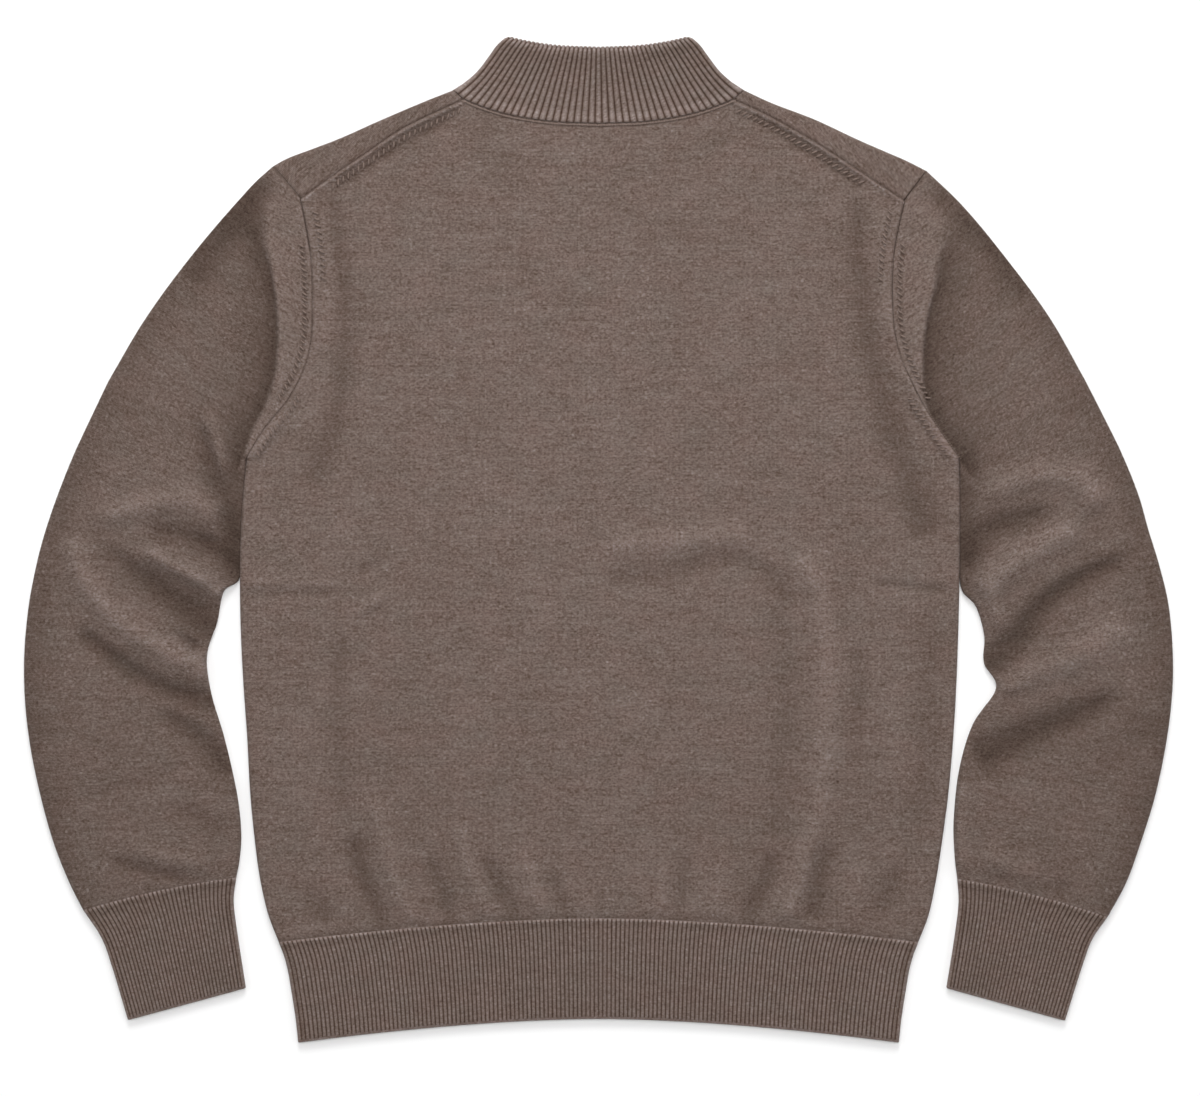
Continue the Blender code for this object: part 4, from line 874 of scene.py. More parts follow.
def make_sleeve(side):
    """Columns run from the inner edge over the top to the outer edge, and back."""
    sections = sleeve_sections(side)
    rows, uv, tones = [], [], []
    first = sections[HEAD_STEPS]
    origin = (first[0] + first[1]) / 2
    run = unit(first[0] - first[1])
    down = -upward(run)
    walked = 0.0
    centre = origin
    for section in sections:
        outer, inner, *_, place = section
        top, top_along, tone = sleeve_half(side, section, SLEEVE_TOP_COLUMNS, True)
        under, under_along, under_tone = sleeve_half(side, section, SLEEVE_UNDER_COLUMNS, False)
        rows.append(np.vstack([top, under[-2:0:-1]]))
        tones.append(np.concatenate([tone, under_tone[-2:0:-1]]))
        length = np.linalg.norm(outer - inner)
        along = np.concatenate([top_along, 2 * length - under_along[-2::-1]])
        if place < 1:
            plan = np.vstack([top[:, :2], under[-2::-1, :2]]) - origin
            uv.append(np.stack([along + plan[0] @ run, plan @ down], axis=1))
        else:
            middle = (outer + inner) / 2
            walked += np.linalg.norm(middle - centre)
            centre = middle
            uv.append(uv_row(along - length / 2, walked))
    rows, uv = np.array(rows), np.array(uv)
    sewn = slice(0, HEAD_STEPS)
    outward = unit(np.array([outer - inner for outer, inner, *_ in sections[sewn]]))[:, None]
    rows[sewn, :2, :2] -= outward * SEAM_LAP
    rows[sewn, -1, :2] -= outward[:, 0] * SEAM_LAP
    rows[0] = lap_over(rows[0], rows[1])
    rows[-1] = lap_over(rows[-1], rows[-2])
    cells = np.ones((len(rows) - 1, rows.shape[1]), bool)
    cells[sewn, (0, -1)] = False
    return cloth_object(
        "sleeve_" + side + "_knit", rows, uv, ring=True, cells=cells, tone=np.array(tones))


# ---- ribbed pieces ----
RIB_SEAM_FADE = 0.9     # the ribs end in round tips this close to a seam
RIB_EDGE_BAND = 1.4     # and die out over this band along a hem's lower edge,
RIB_EDGE_PLAIN = 0.2    # which they leave plain at its very end
COLLAR_WELT = 0.4       # the collar's ribs begin this far above the neck seam
# Swells and hollows along a seam or an edge: height in mm, the painted light (above 0)
# and painted shade (below 0) of the yarn there, and the distance from the edge.
Lip = namedtuple("Lip", "rise tone at width")
HEM_LIPS = table(Lip, [  # the ribs swell at the seam, then sink; painted light on the swell, painted shade below it
    (-0.2, -0.08, 0.0, 0.4), (0.45, 0.42, 1.0, 1.1), (-0.25, -0.14, 5.0, 2.6),
])
# painted shade along the neck seam, painted light above it
COLLAR_LIPS = table(Lip, [
    (-0.8, -0.34, 0.0, 0.75), (0.1, 0.30, 4.4, 3.4), (0.0, 0.17, 13.0, 12.0),
])
COLLAR_TOP_LIPS = table(Lip, [  # from the collar's upper edge downwards, with a painted highlight along the edge
    (0.2, 0.46, 1.2, 3.2), (-0.15, -0.07, 10.0, 5.0), (0.0, 0.05, 25.0, 7.0),
])
COLLAR_ROLL_PAINTED_LIGHT = 1.3  # painted highlight: the collar's upper edge catches the light
CUFF_TONE = 0.965       # the cuffs look a little darker than the hem
SIDE_LINE_AT = 4.6      # a sunken line beside the side edges of cuffs and hem
SIDE_LINE_DEPTH = 0.5
SIDE_LINE_WIDTH = 0.9
SIDE_LINE_PAINTED_SHADE = 4.5    # painted shade: it is painted this much deeper than it is


def row_places(length):
    """Rows of a ribbed piece, closer together where its ribs begin and end."""
    return graded(length, RIB_END_STEPS, RIB_ROW_STEP)


def lip_shape(away, lips):
    """The height of the swells and hollows here, and the yarn's painted light and shade."""
    shares = [bump(away, lip.at, lip.width) for lip in lips]
    height = sum(lip.rise * share for lip, share in zip(lips, shares))
    return height, math.exp(sum(lip.tone * share for lip, share in zip(lips, shares)))


def hem_finish(place, height, away):
    """Swell, rib strength, painted light and shade at the seam, and painted shade of the side line, for a row
    of a cuff or the hem rib.
    """
    lip, lip_painted_shading = lip_shape(place, HEM_LIPS)
    fade = ease(place / RIB_SEAM_FADE) * ease((height - place - RIB_EDGE_PLAIN) / RIB_EDGE_BAND)
    groove = SIDE_LINE_DEPTH * bump(away, SIDE_LINE_AT, SIDE_LINE_WIDTH)
    strength = fade * ease(away / FOLD_RADIUS)
    return lip - groove, strength, lip_painted_shading, painted_shading(-SIDE_LINE_PAINTED_SHADE * groove)


def ribbed_cloth(name, rows, phase, ring=True, radius=ROLL_RADIUS, rest_tone=1.0, over_edge=()):
    """A ribbed piece from its rows, each with points, UV, rib strength and tone.

    phase counts the ribs along a row, rest_tone holds where a row gives no
    tone, as the collar's painted highlight, and over_edge is the ribs' strength step by step round the soft
    edge.
    """
    points, uv, strength, tones = (np.array(part) for part in zip(*rows))
    points, uv = roll_edge(points, uv, radius, ring)
    count, ribbed = strength.shape
    share = np.zeros(points.shape[:2])
    share[:count, :ribbed] = strength
    share[count:count + len(over_edge), :ribbed] = np.outer(over_edge, strength[-1])
    tone = np.full(points.shape[:2], rest_tone)
    tone[:count, :tones.shape[1]] = tones
    rib = np.zeros(points.shape[1])
    rib[:len(phase)] = phase
    return cloth_object(name, points, uv, ring=ring, tone=tone, rib=rib, rib_share=share)


def make_cuff(side):
    """A cuff lies flat: ribs raised on top, plain where it rests."""
    sections = np.array(CUFF_SECTIONS[side], float)
    sections[:, (0, 2)] *= SIGNS[side]
    height = lengths(smooth_line((sections[:, :2] + sections[:, 2:]) / 2))[-1] - ROLL_RADIUS
    fine = smooth_rows(sections, CUFF_SAMPLES)
    fine_at = lengths((fine[:, :2] + fine[:, 2:]) / 2)
    ribs = np.linspace(0, 1, RIB_STEPS * CUFF_RIBS + 1)
    rows = []
    for place in row_places(height):
        ends = [np.interp(place, fine_at, column) for column in fine.T]
        start, end = np.array(ends[:2]), np.array(ends[2:])
        length = np.linalg.norm(end - start)
        round_off = quarter_steps(FOLD_RADIUS)
        under = np.concatenate([round_off, CUFF_UNDER * length, length - round_off[::-1]]) / length

        def points(share, level):
            plan = start + np.outer(share, end - start)
            plan = plan + (1 - place / height) * cuff_seam_bow(share, end - start)
            return solid_points(plan, rounded(level, np.minimum(share, 1 - share) * length))

        away = np.minimum(ribs, 1 - ribs) * length
        swell, strength, lip_painted_shading, side_painted_shade = hem_finish(place, height, away)
        top = points(ribs, CUFF_TOP + swell)
        below = points(under, np.zeros_like(under))
        across = np.concatenate([ribs, 2 - under[-2::-1]]) * length
        # each row carries painted light and shade at the seam and along the side lines
        rows.append((
            np.vstack([top, below[-2:0:-1]]), uv_row(across, place),
            strength, CUFF_TONE * lip_painted_shading * side_painted_shade))
    return ribbed_cloth("cuff_" + side + "_rib", rows, ribs * CUFF_RIBS, rest_tone=CUFF_TONE)


def make_hem(upper):
    """One half of the hem rib, from side seam to side seam."""
    across = np.linspace(-1, 1, RIB_STEPS * HEM_RIBS + 1)
    if not upper:
        edge = quarter_steps(FOLD_RADIUS) / HEM_SIDE[0].out
        across = np.concatenate([-1 + edge, HEM_UNDER, 1 - edge[::-1]])
    line = smooth_line(HEM_SIDE)
    height = lengths(line)[-1] - ROLL_RADIUS
    rows = []
    for place in row_places(height):
        out, y = walk(line, place)
        away = (1 - np.abs(across)) * out
        swell, strength, lip_painted_shading, side_painted_shade = hem_finish(place, height, away)
        plan = np.stack([across * out, y + hem_bow(across)], axis=1)
        # each row carries painted light and shade at the seam and along the side lines
        rows.append((
            solid_points(plan, rounded((HEM_TOP + swell) * upper, away)), uv_row(across * out, -place),
            strength * upper, (lip_painted_shading if upper else 1.0) * side_painted_shade))
    name = "hem_back_rib" if upper else "hem_front_rib"
    return ribbed_cloth(name, rows, (across + 1) / 2 * HEM_RIBS, ring=False)


def collar_row(base, top, place, turn):
    """One row between the neck seam and the upper edge; turn runs from -1 to 1."""
    side = smooth_line(COLLAR_SIDE)
    pull = np.abs(turn) ** COLLAR_SIDE_POWER
    out, y = walk_share(side, place)
    chord_out, chord_y = side[0] + place * (side[-1] - side[0])
    row = base + place * (top - base)
    row[:, 0] += np.sign(turn) * pull * (out - chord_out)
    row[:, 1] += pull * (y - chord_y)
    return row


def make_collar():
    """The collar's back lies over its front; ribs are raised on the back."""
    ribs = np.linspace(0, 1, RIB_STEPS * COLLAR_RIBS + 1)
    under = np.linspace(0, 1, COLLAR_UNDER_COLUMNS + 1)
    corner = COLLAR_EDGE[0]
    front = [bowl(*NECK_POINT, FRONT_NECK_DROP), bowl(corner.out, corner.y, COLLAR_FRONT_TOP_DROP)]
    halves = [
        (walk_share(base, share), walk_share(top, share), 2 * share - 1, level)
        for base, top, share, level in (
            (neck_line(), mirrored(COLLAR_EDGE), ribs, COLLAR_TOP), (*front, under, 0.0))
    ]
    height = lengths(smooth_line(COLLAR_SIDE))[-1]
    rows = []
    for place in row_places(height - COLLAR_ROLL_RADIUS) / height:
        lip, lip_painted_shading = lip_shape(place * height, COLLAR_LIPS)
        top_lip, top_painted_shading = lip_shape((1 - place) * height, COLLAR_TOP_LIPS)
        parts, walked = [], []
        for base, top, turn, level in halves:
            plan = collar_row(base, top, place, turn)
            at = lengths(plan)
            if level:
                level = level + lip + top_lip
            level = rounded(level, np.minimum(at, at[-1] - at), COLLAR_MID, COLLAR_MID)
            parts.append(solid_points(plan, level))
            walked.append(at)
        on_back, on_front = walked
        across = np.concatenate([on_back, on_back[-1] + on_front[-1] - on_front[-2::-1]])
        fade = ease((place * height - COLLAR_WELT) / RIB_SEAM_FADE)
        strength = fade * ease(np.minimum(on_back, on_back[-1] - on_back) / COLLAR_MID)
        # painted light and shade of the collar's row
        tone = np.full(len(across) - 1, lip_painted_shading * top_painted_shading)
        rows.append((
            np.vstack([parts[0], parts[1][-2:0:-1]]), uv_row(across, place * height), strength, tone))
    return ribbed_cloth(
        "collar_rib", rows, ribs * COLLAR_RIBS, radius=COLLAR_ROLL_RADIUS,
        rest_tone=COLLAR_ROLL_PAINTED_LIGHT, over_edge=ease((math.pi - ROLL_TURNS) / 2))


# ---- node trees ----
class Graph:
    """Shorthand for adding nodes to a tree and joining them."""

    def __init__(self, tree):
        self.tree = tree

    def add(self, kind, sockets=None, **settings):
        node = self.tree.nodes.new(kind)
        for key, value in settings.items():
            setattr(node, key, value)
        for key, value in (sockets or {}).items():
            if isinstance(value, bpy.types.NodeSocket):
                self.tree.links.new(value, node.inputs[key])
            else:
                node.inputs[key].default_value = value
        return node

    def out(self, kind, sockets=None, **settings):
        """The first output of a new node."""
        return self.add(kind, sockets, **settings).outputs[0]

    def math(self, operation, *values, **settings):
        return self.out("ShaderNodeMath", dict(enumerate(values)), operation=operation, **settings)

    def times(self, *values):
        return self.math("MULTIPLY", *values)

    def plus(self, *values):
        return self.math("ADD", *values)

    def spread(self, value, factor, offset):
        return self.math("MULTIPLY_ADD", value, factor, offset)

    def vector(self, operation, *values, **named):
        return self.out(
            "ShaderNodeVectorMath", {**dict(enumerate(values)), **named}, operation=operation)


def geometry_tree(name, sizes):
    """An empty node group with geometry in and out, and named inputs."""
    tree = bpy.data.node_groups.new(name, "GeometryNodeTree")
    for label, kind in {"Geometry": "Geometry", **sizes, "Material": "Material"}.items():
        tree.interface.new_socket(label, in_out="INPUT", socket_type="NodeSocket" + kind)
    tree.interface.new_socket("Geometry", in_out="OUTPUT", socket_type="NodeSocketGeometry")
    return tree, Graph(tree), tree.nodes.new("NodeGroupInput").outputs


def finish_tree(graph, geometry, material):
    """Every tree ends by realizing its instances and setting its material."""
    real = graph.out("GeometryNodeRealizeInstances", {0: geometry})
    dressed = graph.out("GeometryNodeSetMaterial", {"Geometry": real, "Material": material})
    graph.add("NodeGroupOutput", {0: dressed})
    return graph.tree


def rib_tree():
    """Raises round ribs where the rib count and its strength say."""
    _, graph, given = geometry_tree("raise ribs", {"Rib height": "Float", "Rib roundness": "Float"})
    rib, strength = (
        graph.out("GeometryNodeInputNamedAttribute", {"Name": label}, data_type="FLOAT")
        for label in ("rib", "rib_share"))
    across = graph.spread(graph.math("FRACT", rib), 2.0, -1.0)
    fall = graph.math("POWER", graph.math("ABSOLUTE", across), given["Rib roundness"])
    ridge = graph.times(graph.math("SUBTRACT", 1.0, fall), strength)
    lift = graph.vector("SCALE", graph.out("GeometryNodeInputNormal"),
                        Scale=graph.times(ridge, given["Rib height"]))
    # the valley mask, which the rib material darkens as painted shade
    marked = graph.out("GeometryNodeStoreNamedAttribute", {
        "Geometry": given["Geometry"], "Name": "valley", "Value": graph.times(fall, strength)},
        data_type="FLOAT", domain="POINT")
    raised = graph.out("GeometryNodeSetPosition", {"Geometry": marked, "Offset": lift})
    return finish_tree(graph, raised, given["Material"])


def stitch_tree():
    """Lays one plump stitch after another along a line."""
    tree, graph, given = geometry_tree("lay stitches", {
        "Spacing": "Float", "Stitch size": "Vector", "Lean": "Float", "Unevenness": "Float", "Seed": "Int"})
    line = graph.out("GeometryNodeMeshToCurve", {0: given["Geometry"]})
    spaced = graph.out(
        "GeometryNodeResampleCurve", {"Curve": line, "Length": given["Spacing"]}, mode="LENGTH")
    ball = graph.out("GeometryNodeMeshUVSphere", {"Segments": 8, "Rings": 5, "Radius": 0.5})
    stitch = graph.out("GeometryNodeTransform", {"Geometry": ball, "Scale": given["Stitch size"]})
    turned = graph.out("FunctionNodeAlignRotationToVector", {
        "Vector": graph.out("GeometryNodeInputTangent")}, axis="X", pivot_axis="Z")
    lean = graph.out("ShaderNodeCombineXYZ", {"Z": given["Lean"]})
    leaning = graph.out("FunctionNodeRotateRotation", {
        "Rotation": turned, "Rotate By": lean}, rotation_space="LOCAL")
    size = graph.add("FunctionNodeRandomValue", data_type="FLOAT")
    limits = {
        "Min": graph.math("SUBTRACT", 1.0, given["Unevenness"]),
        "Max": graph.plus(1.0, given["Unevenness"]), "Seed": given["Seed"]}
    for socket in size.inputs:
        if socket.enabled and socket.name in limits:
            tree.links.new(limits[socket.name], socket)
    scale = [socket for socket in size.outputs if socket.enabled][0]
    laid = graph.out("GeometryNodeInstanceOnPoints", {
        "Points": spaced, "Instance": stitch, "Rotation": leaning, "Scale": scale})
    smooth = graph.out("GeometryNodeSetShadeSmooth", {"Geometry": laid})
    return finish_tree(graph, smooth, given["Material"])


def bake_tree(piece, tree, **sizes):
    """Run a node tree on a piece, and keep what it makes as a plain mesh."""
    modifier = piece.modifiers.new(tree.name, "NODES")
    modifier.node_group = tree
    values = {label.replace("_", " ").capitalize(): value for label, value in sizes.items()}
    for item in tree.interface.items_tree:
        if item.in_out == "INPUT" and item.name in values:
            modifier[item.identifier] = values[item.name]
    graph = bpy.context.evaluated_depsgraph_get()
    mesh = bpy.data.meshes.new_from_object(
        piece.evaluated_get(graph), preserve_all_data_layers=True, depsgraph=graph)
    piece.modifiers.remove(modifier)
    piece.data = mesh
    return piece


# ---- materials ----
JERSEY_COLOUR = (0.1722, 0.1257, 0.1069)
RIB_COLOUR = (0.164, 0.1175, 0.0985)
DARKENING = (0.95, 1.16, 1.33)  # dark fibres and the painted shade in rib valleys are a little redder than light ones
PAINTED_SHADE_DARKENING = (1.0, 1.12, 1.23)       # and so is the cloth where painted shade darkens it
YARN_COLOUR = (0.195, 0.144, 0.122)
WALE = 1.77 * MM        # width of a jersey stitch
COURSE = 1.25 * MM      # and its height
RIB_STITCH = 1.55 * MM
KNIT_FINISH = {
    "Roughness": 0.92, "Specular IOR Level": 0.15,
    "Sheen Weight": 0.06, "Sheen Roughness": 0.6, "Sheen Tint": (0.9, 0.82, 0.76, 1),
}
MELANGE_SPOTS = (       # width and height in mm, and how much the yarn varies over them
    (4.5, 2.0, 0.75), (2.0, 1.6, 1.38), (15, 3.4, 0.50), (40, 9, 0.36), (80, 60, 0.24),
)
MELANGE_FIBRES = (      # shift, width and height in mm, thinness, and how much lighter they are
    ((0, 0, 0), 3.6, 2.8, 0.07, 0.38), ((3.3, 1.7, 0), 3.4, 2.6, 0.06, -0.28),
)
RIB_MELANGE = 0.65      # the ribs' yarn varies less
STITCH_UNEVENNESS = 0.2
NEP_SHARE = 0.007       # of the stitches hold a light nep
NEP_LIGHT = 0.25
STITCH_SHADE = (0.40, 0.76)     # how much lighter a stitch's legs are than its gaps
VALLEY_SHADE = (-1.12, 1.285)   # painted shade: how much darker the valleys between ribs are painted
DARKEST = 0.02
WARM_SPOTS = (30, 22, 3.0)      # width and height in mm, then detail
WARM_AMOUNT = 0.16
LEG_SLANT = -0.7        # a stitch's legs climb by this much of its height
LOOP_SHADE = (0.6, 0.4)
KNIT_FUZZ = (0.7, 0.5)  # width and height in mm
KNIT_FUZZ_SHARE = 0.6
KNIT_NAP = (5.5, 1.1, 3.0)
KNIT_RELIEF = (0.8, 0.35)       # strength, then depth in mm
YARN_FINISH = {"Roughness": 0.95, "Specular IOR Level": 0.15}
YARN_SPOTS = (1.2, 1.2)
YARN_AMOUNT = 0.7
YARN_FUZZ = (0.4, 0.4)
YARN_RELIEF = (0.5, 0.2)


def noise(graph, place, width, height, detail=2.0):
    """Noise from 0 to 1 whose spots are width by height in millimetres."""
    stretched = graph.vector("MULTIPLY", place, (1 / (width * MM), 1 / (height * MM), 1))
    return graph.add("ShaderNodeTexNoise", {
        "Vector": stretched, "Scale": 1.0, "Detail": detail, "Roughness": 0.6}).outputs["Fac"]


def centred(graph, value, amount):
    """A 0 to 1 value turned into a change of up to half the amount either way."""
    return graph.times(graph.math("SUBTRACT", value, 0.5), amount)


def threads(graph, place, width, height, thin):
    """Short curly fibres: the thin lines where a noise crosses its middle."""
    away = graph.math("ABSOLUTE", centred(graph, noise(graph, place, width, height, 1.0), 2 / thin))
    return graph.math("SUBTRACT", 1.0, away, use_clamp=True)


def arch(graph, share):
    """A round arch over a share from 0 to 1."""
    away = graph.spread(share, 2.0, -1.0)
    return graph.math("SUBTRACT", 1.0, graph.times(away, away))


def stitch_shape(graph, place, wale, course):
    """The two slanted legs of each knitted loop, from 0 to 1, and the loop's cell."""
    across, along, _ = graph.add("ShaderNodeSeparateXYZ", {0: place}).outputs
    columns, rows = graph.math("DIVIDE", across, wale), graph.math("DIVIDE", along, course)
    centre = graph.math("SUBTRACT", graph.math("FRACT", columns), 0.5)
    side = graph.times(graph.math("ABSOLUTE", centre), 2.0)
    loop = arch(graph, graph.math("FRACT", graph.spread(side, LEG_SLANT, rows)))
    cell = graph.out("ShaderNodeCombineXYZ", {
        "X": graph.math("FLOOR", columns), "Y": graph.math("FLOOR", rows)})
    return graph.times(arch(graph, side), graph.spread(loop, *LOOP_SHADE)), cell


def melange(graph, place, strength):
    """Brightness of yarn spun from light and dark fibres, around 1."""
    shade = 1.0
    for width, height, amount in MELANGE_SPOTS:
        shade = graph.plus(shade, centred(graph, noise(graph, place, width, height), amount * strength))
    for shift, width, height, thin, amount in MELANGE_FIBRES:
        there = graph.vector("ADD", place, shift)
        shade = graph.spread(threads(graph, there, width, height, thin), amount * strength, shade)
    return shade


def new_material(name, constants):
    """A material, its graph and its shader, with these of the shader's sockets set."""
    material = bpy.data.materials.new(name)
    material.use_nodes = True
    shader = material.node_tree.nodes["Principled BSDF"]
    for label, value in constants.items():
        shader.inputs[label].default_value = value
    return material, Graph(material.node_tree), shader


def join_shader(graph, shader, colour, relief, strength, distance):
    """Join a colour and this relief to the shader."""
    normal = graph.out("ShaderNodeBump", {
        "Strength": strength, "Distance": distance * MM, "Height": relief})
    graph.tree.links.new(colour, shader.inputs["Base Color"])
    graph.tree.links.new(normal, shader.inputs["Normal"])


def knit_material(name, colour, wale, ribbed=False):
    """Matte melange yarn, knitted: uneven colour, V stitches and a soft nap."""
    material, graph, shader = new_material(name, KNIT_FINISH)
    place = graph.out("ShaderNodeUVMap", uv_map="cloth")
    stitch, cell = stitch_shape(graph, place, wale, COURSE)
    each = graph.out("ShaderNodeTexWhiteNoise", {"Vector": cell}, noise_dimensions="3D")
    yarn = melange(graph, place, RIB_MELANGE if ribbed else 1.0)
    shade = graph.plus(yarn, centred(graph, each, STITCH_UNEVENNESS))
    shade = graph.spread(graph.math("GREATER_THAN", each, 1 - NEP_SHARE), NEP_LIGHT, shade)
    shade = graph.times(shade, graph.spread(stitch, *STITCH_SHADE))
    if ribbed:
        # painted shade in the valleys between the ribs
        valley = graph.add("ShaderNodeAttribute", attribute_name="valley").outputs["Fac"]
        shade = graph.times(shade, graph.spread(valley, *VALLEY_SHADE))
    shade = graph.math("MAXIMUM", shade, DARKEST)
    # tone: painted light and shade, darker in hollows and seams, lighter on ridges
    tone = graph.add("ShaderNodeAttribute", attribute_name="tone").outputs["Fac"]
    red, green, blue = (
        graph.times(graph.math("POWER", shade, power), graph.math("POWER", tone, tone_power))
        for power, tone_power in zip(DARKENING, PAINTED_SHADE_DARKENING))
    warm = graph.plus(1.0, centred(graph, noise(graph, place, *WARM_SPOTS), WARM_AMOUNT))
    tint = graph.out("ShaderNodeCombineXYZ", {"X": graph.times(red, warm), "Y": green, "Z": blue})
    relief = graph.spread(noise(graph, place, *KNIT_FUZZ), KNIT_FUZZ_SHARE, stitch)
    relief = graph.plus(relief, noise(graph, place, *KNIT_NAP))
    join_shader(graph, shader, graph.vector("MULTIPLY", tint, colour), relief, *KNIT_RELIEF)
    return material


def yarn_material():
    """Plain yarn of the linking stitches, in the garment's own brown."""
    material, graph, shader = new_material("linking yarn", YARN_FINISH)
    place = graph.add("ShaderNodeTexCoord").outputs["Object"]
    shade = graph.plus(1.0, centred(graph, noise(graph, place, *YARN_SPOTS), YARN_AMOUNT))
    colour = graph.vector("SCALE", YARN_COLOUR, Scale=shade)
    join_shader(graph, shader, colour, noise(graph, place, *YARN_FUZZ), *YARN_RELIEF)
    return material


# ---- stage, light and camera ----
VIEW_WIDTH = 0.8789     # width of the frame on the garment, metres
VIEW_CENTRE = (0.0011, -0.0059)
CAMERA_HEIGHT = 3.0
SENSOR_MM = 36.0
FLOOR_HALF = 4.0
FLOOR_Z = -0.1 * MM
PAPER_FINISH = {"Base Color": (0.985, 0.985, 0.985, 1), "Roughness": 1.0, "Specular IOR Level": 0.0}
SOFT_BOXES = (          # name, place and size in metres, watts
    ("overhead soft box", (0.0, 0.3, 3.4), 1.0, 51),
    ("key soft box", (0.0, 2.4, 1.9), 1.2, 47),
    ("left soft box", (-2.2, 0.3, 1.8), 1.2, 8.6),
    ("right soft box", (2.2, 0.3, 1.8), 1.2, 8.6),
)
ROOM_LIGHT = 0.30


def make_stage():
    mesh = bpy.data.meshes.new("floor")
    corners = [(x * FLOOR_HALF, y * FLOOR_HALF, FLOOR_Z) for x, y in ((-1, -1), (1, -1), (1, 1), (-1, 1))]
    mesh.from_pydata(corners, [], [(0, 1, 2, 3)])
    mesh.materials.append(new_material("white paper", PAPER_FINISH)[0])
    new_object("floor", mesh)


def make_light(name, place, size, watts):
    """A square soft box that faces the garment."""
    light = bpy.data.lights.new(name, "AREA")
    light.size = size
    light.energy = watts
    lamp = new_object(name, light)
    lamp.location = place
    x, y, z = place
    lamp.rotation_euler = (math.atan2(math.hypot(x, y), z), 0, math.atan2(x, -y))


def make_camera():
    camera = bpy.data.cameras.new("camera")
    camera.sensor_width = SENSOR_MM
    camera.lens = SENSOR_MM * (CAMERA_HEIGHT - BODY_TOP * MM) / VIEW_WIDTH
    eye = new_object("camera", camera)
    eye.location = (*VIEW_CENTRE, CAMERA_HEIGHT)
    bpy.context.scene.camera = eye


def make_room():
    make_stage()
    for light in SOFT_BOXES:
        make_light(*light)
    world = bpy.data.worlds.new("soft room")
    world.use_nodes = True
    background = world.node_tree.nodes["Background"].inputs
    background["Color"].default_value = (1, 1, 1, 1)
    background["Strength"].default_value = ROOM_LIGHT
    bpy.context.scene.world = world
    bpy.context.scene.view_settings.view_transform = "Standard"
    make_camera()


# ---- stitches ----
RAY_START = 60.0        # stitches are let down onto the cloth from this height

Stitches = namedtuple("Stitches", "spacing size lean lift")
LINKING_CORD = Stitches(2.0, (2.6, 1.5, 1.5), 0.30, 0.1)       # chain along the neck
SEAM_STITCHES = Stitches(1.7, (1.5, 0.7, 0.6), 0.6, 0.0)
FASHION_MARKS = Stitches(4.4, (5.4, 1.6, 2.2), 0.95, 0.7)
UNEVENNESS = 0.12
LET_DOWN_STEP = 2.0     # a sewn line is let down in steps of about this length
SHOULDER_STITCHES_AT = 1.2      # all of these lie this far from their seam
ARMHOLE_STITCHES_AT = 1.1
SHOULDER_MARKS_AT = 6.5
SHOULDER_MARKS_PART = slice(20, -6)     # of the points on the shoulder line
BACK_MARKS = ((8.5, 190, 240), (6.0, 62, 104))  # and between these heights in plan


def let_down(line, cloths, lift):
    """The line's points set down on the highest of these cloths."""
    trees = [
        BVHTree.FromPolygons([v.co for v in cloth.data.vertices], [f.vertices for f in cloth.data.polygons])
        for cloth in cloths]
    placed = []
    for x, y in line * MM:
        hits = [tree.ray_cast((x, y, RAY_START * MM), (0, 0, -1))[0] for tree in trees]
        hits = [hit.z for hit in hits if hit]
        if hits:
            placed.append((x, y, max(hits) + lift * MM))
    return placed


def sew(name, lines, cloths, kind, yarn, tree, seed):
    """Stitches along plan lines, laid on the cloths."""
    corners, edges = [], []
    for line in lines:
        count = max(3, int(lengths(line)[-1] / LET_DOWN_STEP))
        points = walk_share(line, np.linspace(0, 1, count))
        placed = let_down(points, cloths, kind.lift)
        first = len(corners)
        corners += placed
        edges += [(i, i + 1) for i in range(first, len(corners) - 1)]
    mesh = bpy.data.meshes.new(name)
    mesh.from_pydata(corners, edges, [])
    return bake_tree(
        new_object(name, mesh), tree, spacing=kind.spacing * MM, lean=kind.lean, seed=seed,
        stitch_size=[size * MM for size in kind.size], unevenness=UNEVENNESS, material=yarn)


# ---- putting it together ----
Cut = namedtuple("Cut", "width length area lies_on")


def wear(piece, node, material):
    """Give a piece its material and let it stand for its CAD node."""
    if not piece.data.materials:
        piece.data.materials.append(material)
    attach(piece, "root")
    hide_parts(node)


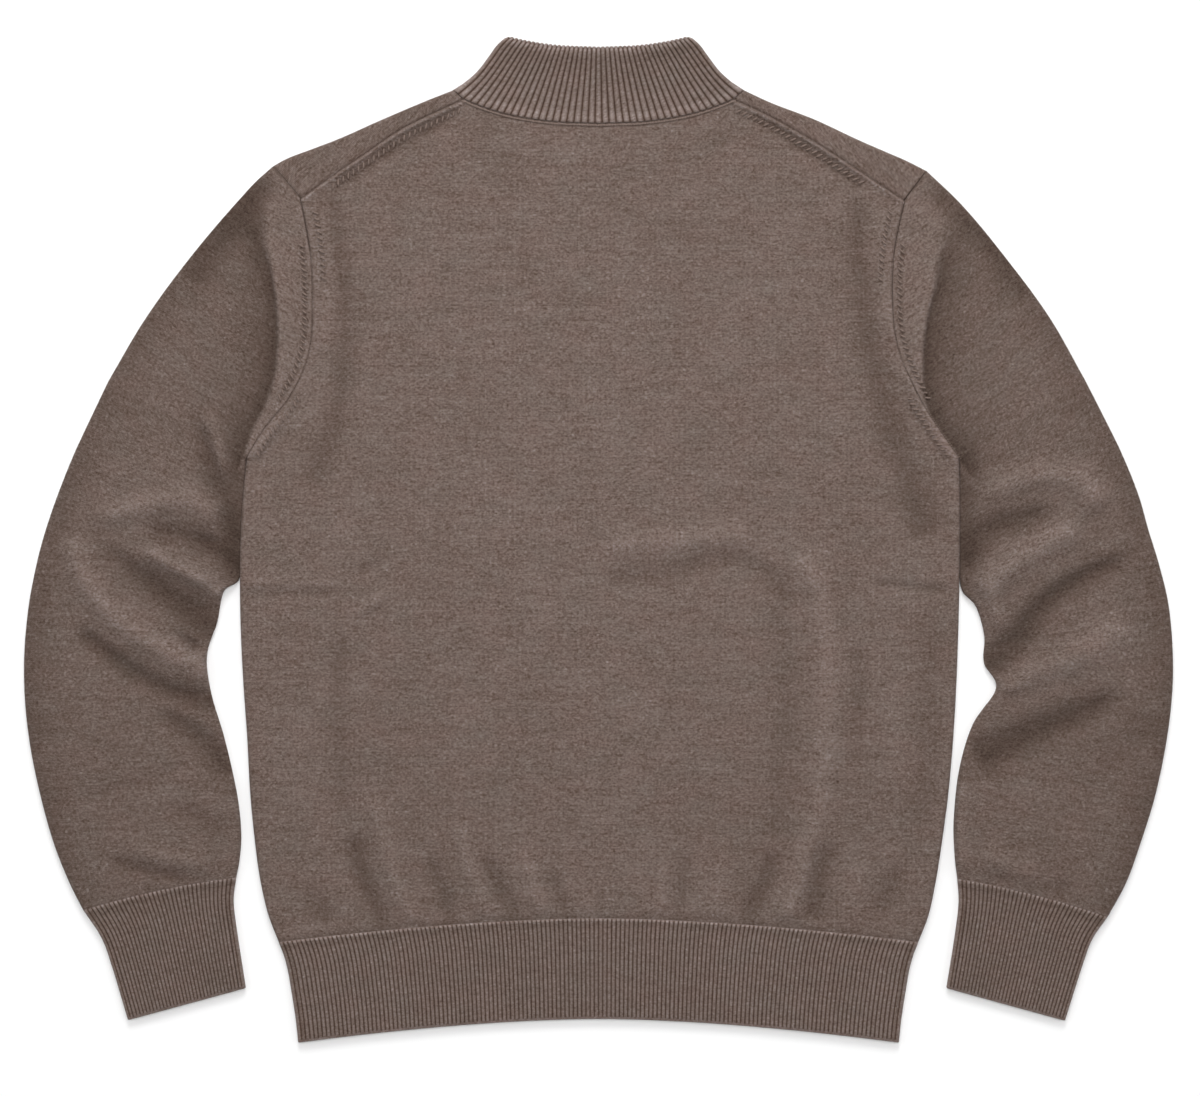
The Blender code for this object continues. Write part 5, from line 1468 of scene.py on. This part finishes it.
def sew_seams(cloths, yarn):
    """The linking stitches and fashioning marks, by the cloth that carries them."""
    tree = stitch_tree()
    back = cloths["back"]
    neck = beside(neck_line()[1:-1], -NECK_CORD_AT)
    sewn = {
        "back": [sew("neck_linking", [neck], [back, cloths["collar"]], LINKING_CORD, yarn, tree, 1)],
    }
    shoulders, marks = [], []
    for side, sign in SIGNS.items():
        shoulder, armhole = SHOULDERS[side], ARMHOLES[side]
        shoulders.append(beside(shoulder, sign * SHOULDER_STITCHES_AT))
        marks.append(beside(shoulder, sign * SHOULDER_MARKS_AT)[SHOULDER_MARKS_PART])
        marks += [part_of(beside(armhole, -sign * away), *span) for away, *span in BACK_MARKS]
        lines = [
            ("armhole_" + side + "_linking", beside(armhole, sign * ARMHOLE_STITCHES_AT),
             SEAM_STITCHES, 2),
            ("sleeve_" + side + "_marks", part_of(beside(armhole, sign * MARKS_AT), *MARKS_SPAN),
             FASHION_MARKS, 3),
        ]
        sleeve = "sleeve_" + side
        sewn[sleeve] = [
            sew(name, [line], [cloths[sleeve]], kind, yarn, tree, seed)
            for name, line, kind, seed in lines]
    sewn["back"].append(sew("shoulder_linking", shoulders, [back], SEAM_STITCHES, yarn, tree, 4))
    sewn["back"].append(sew("back_marks", marks, [back], FASHION_MARKS, yarn, tree, 5))
    return sewn


def main():
    jersey = knit_material("jersey knit", JERSEY_COLOUR, WALE)
    rib = knit_material("rib knit", RIB_COLOUR, RIB_STITCH, ribbed=True)
    yarn = yarn_material()
    raise_ribs = rib_tree()
    cloths = {"back": make_back(), "front": make_front()}
    cloths.update({"sleeve_" + side: make_sleeve(side) for side in SIGNS})
    ribbed = {"cuff_" + side: make_cuff(side) for side in SIGNS}
    ribbed.update(hem_rib_back=make_hem(True), hem_rib_front=make_hem(False), collar=make_collar())
    for node, piece in ribbed.items():
        height, roundness = RIB_HEIGHT, RIB_ROUNDNESS
        if node == "collar":
            height, roundness = COLLAR_RIB_HEIGHT, COLLAR_ROUNDNESS
        bake_tree(piece, raise_ribs, rib_height=height * MM, rib_roundness=roundness, material=rib)
    cloths.update(ribbed)
    sewn = sew_seams(cloths, yarn)
    for node, piece in cloths.items():
        slot, material = ("rib", rib) if node in ribbed else ("jersey", jersey)
        wear(piece, node, material)
        for stitches in sewn.get(node, []):
            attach(stitches, "root")
    make_room()


main()
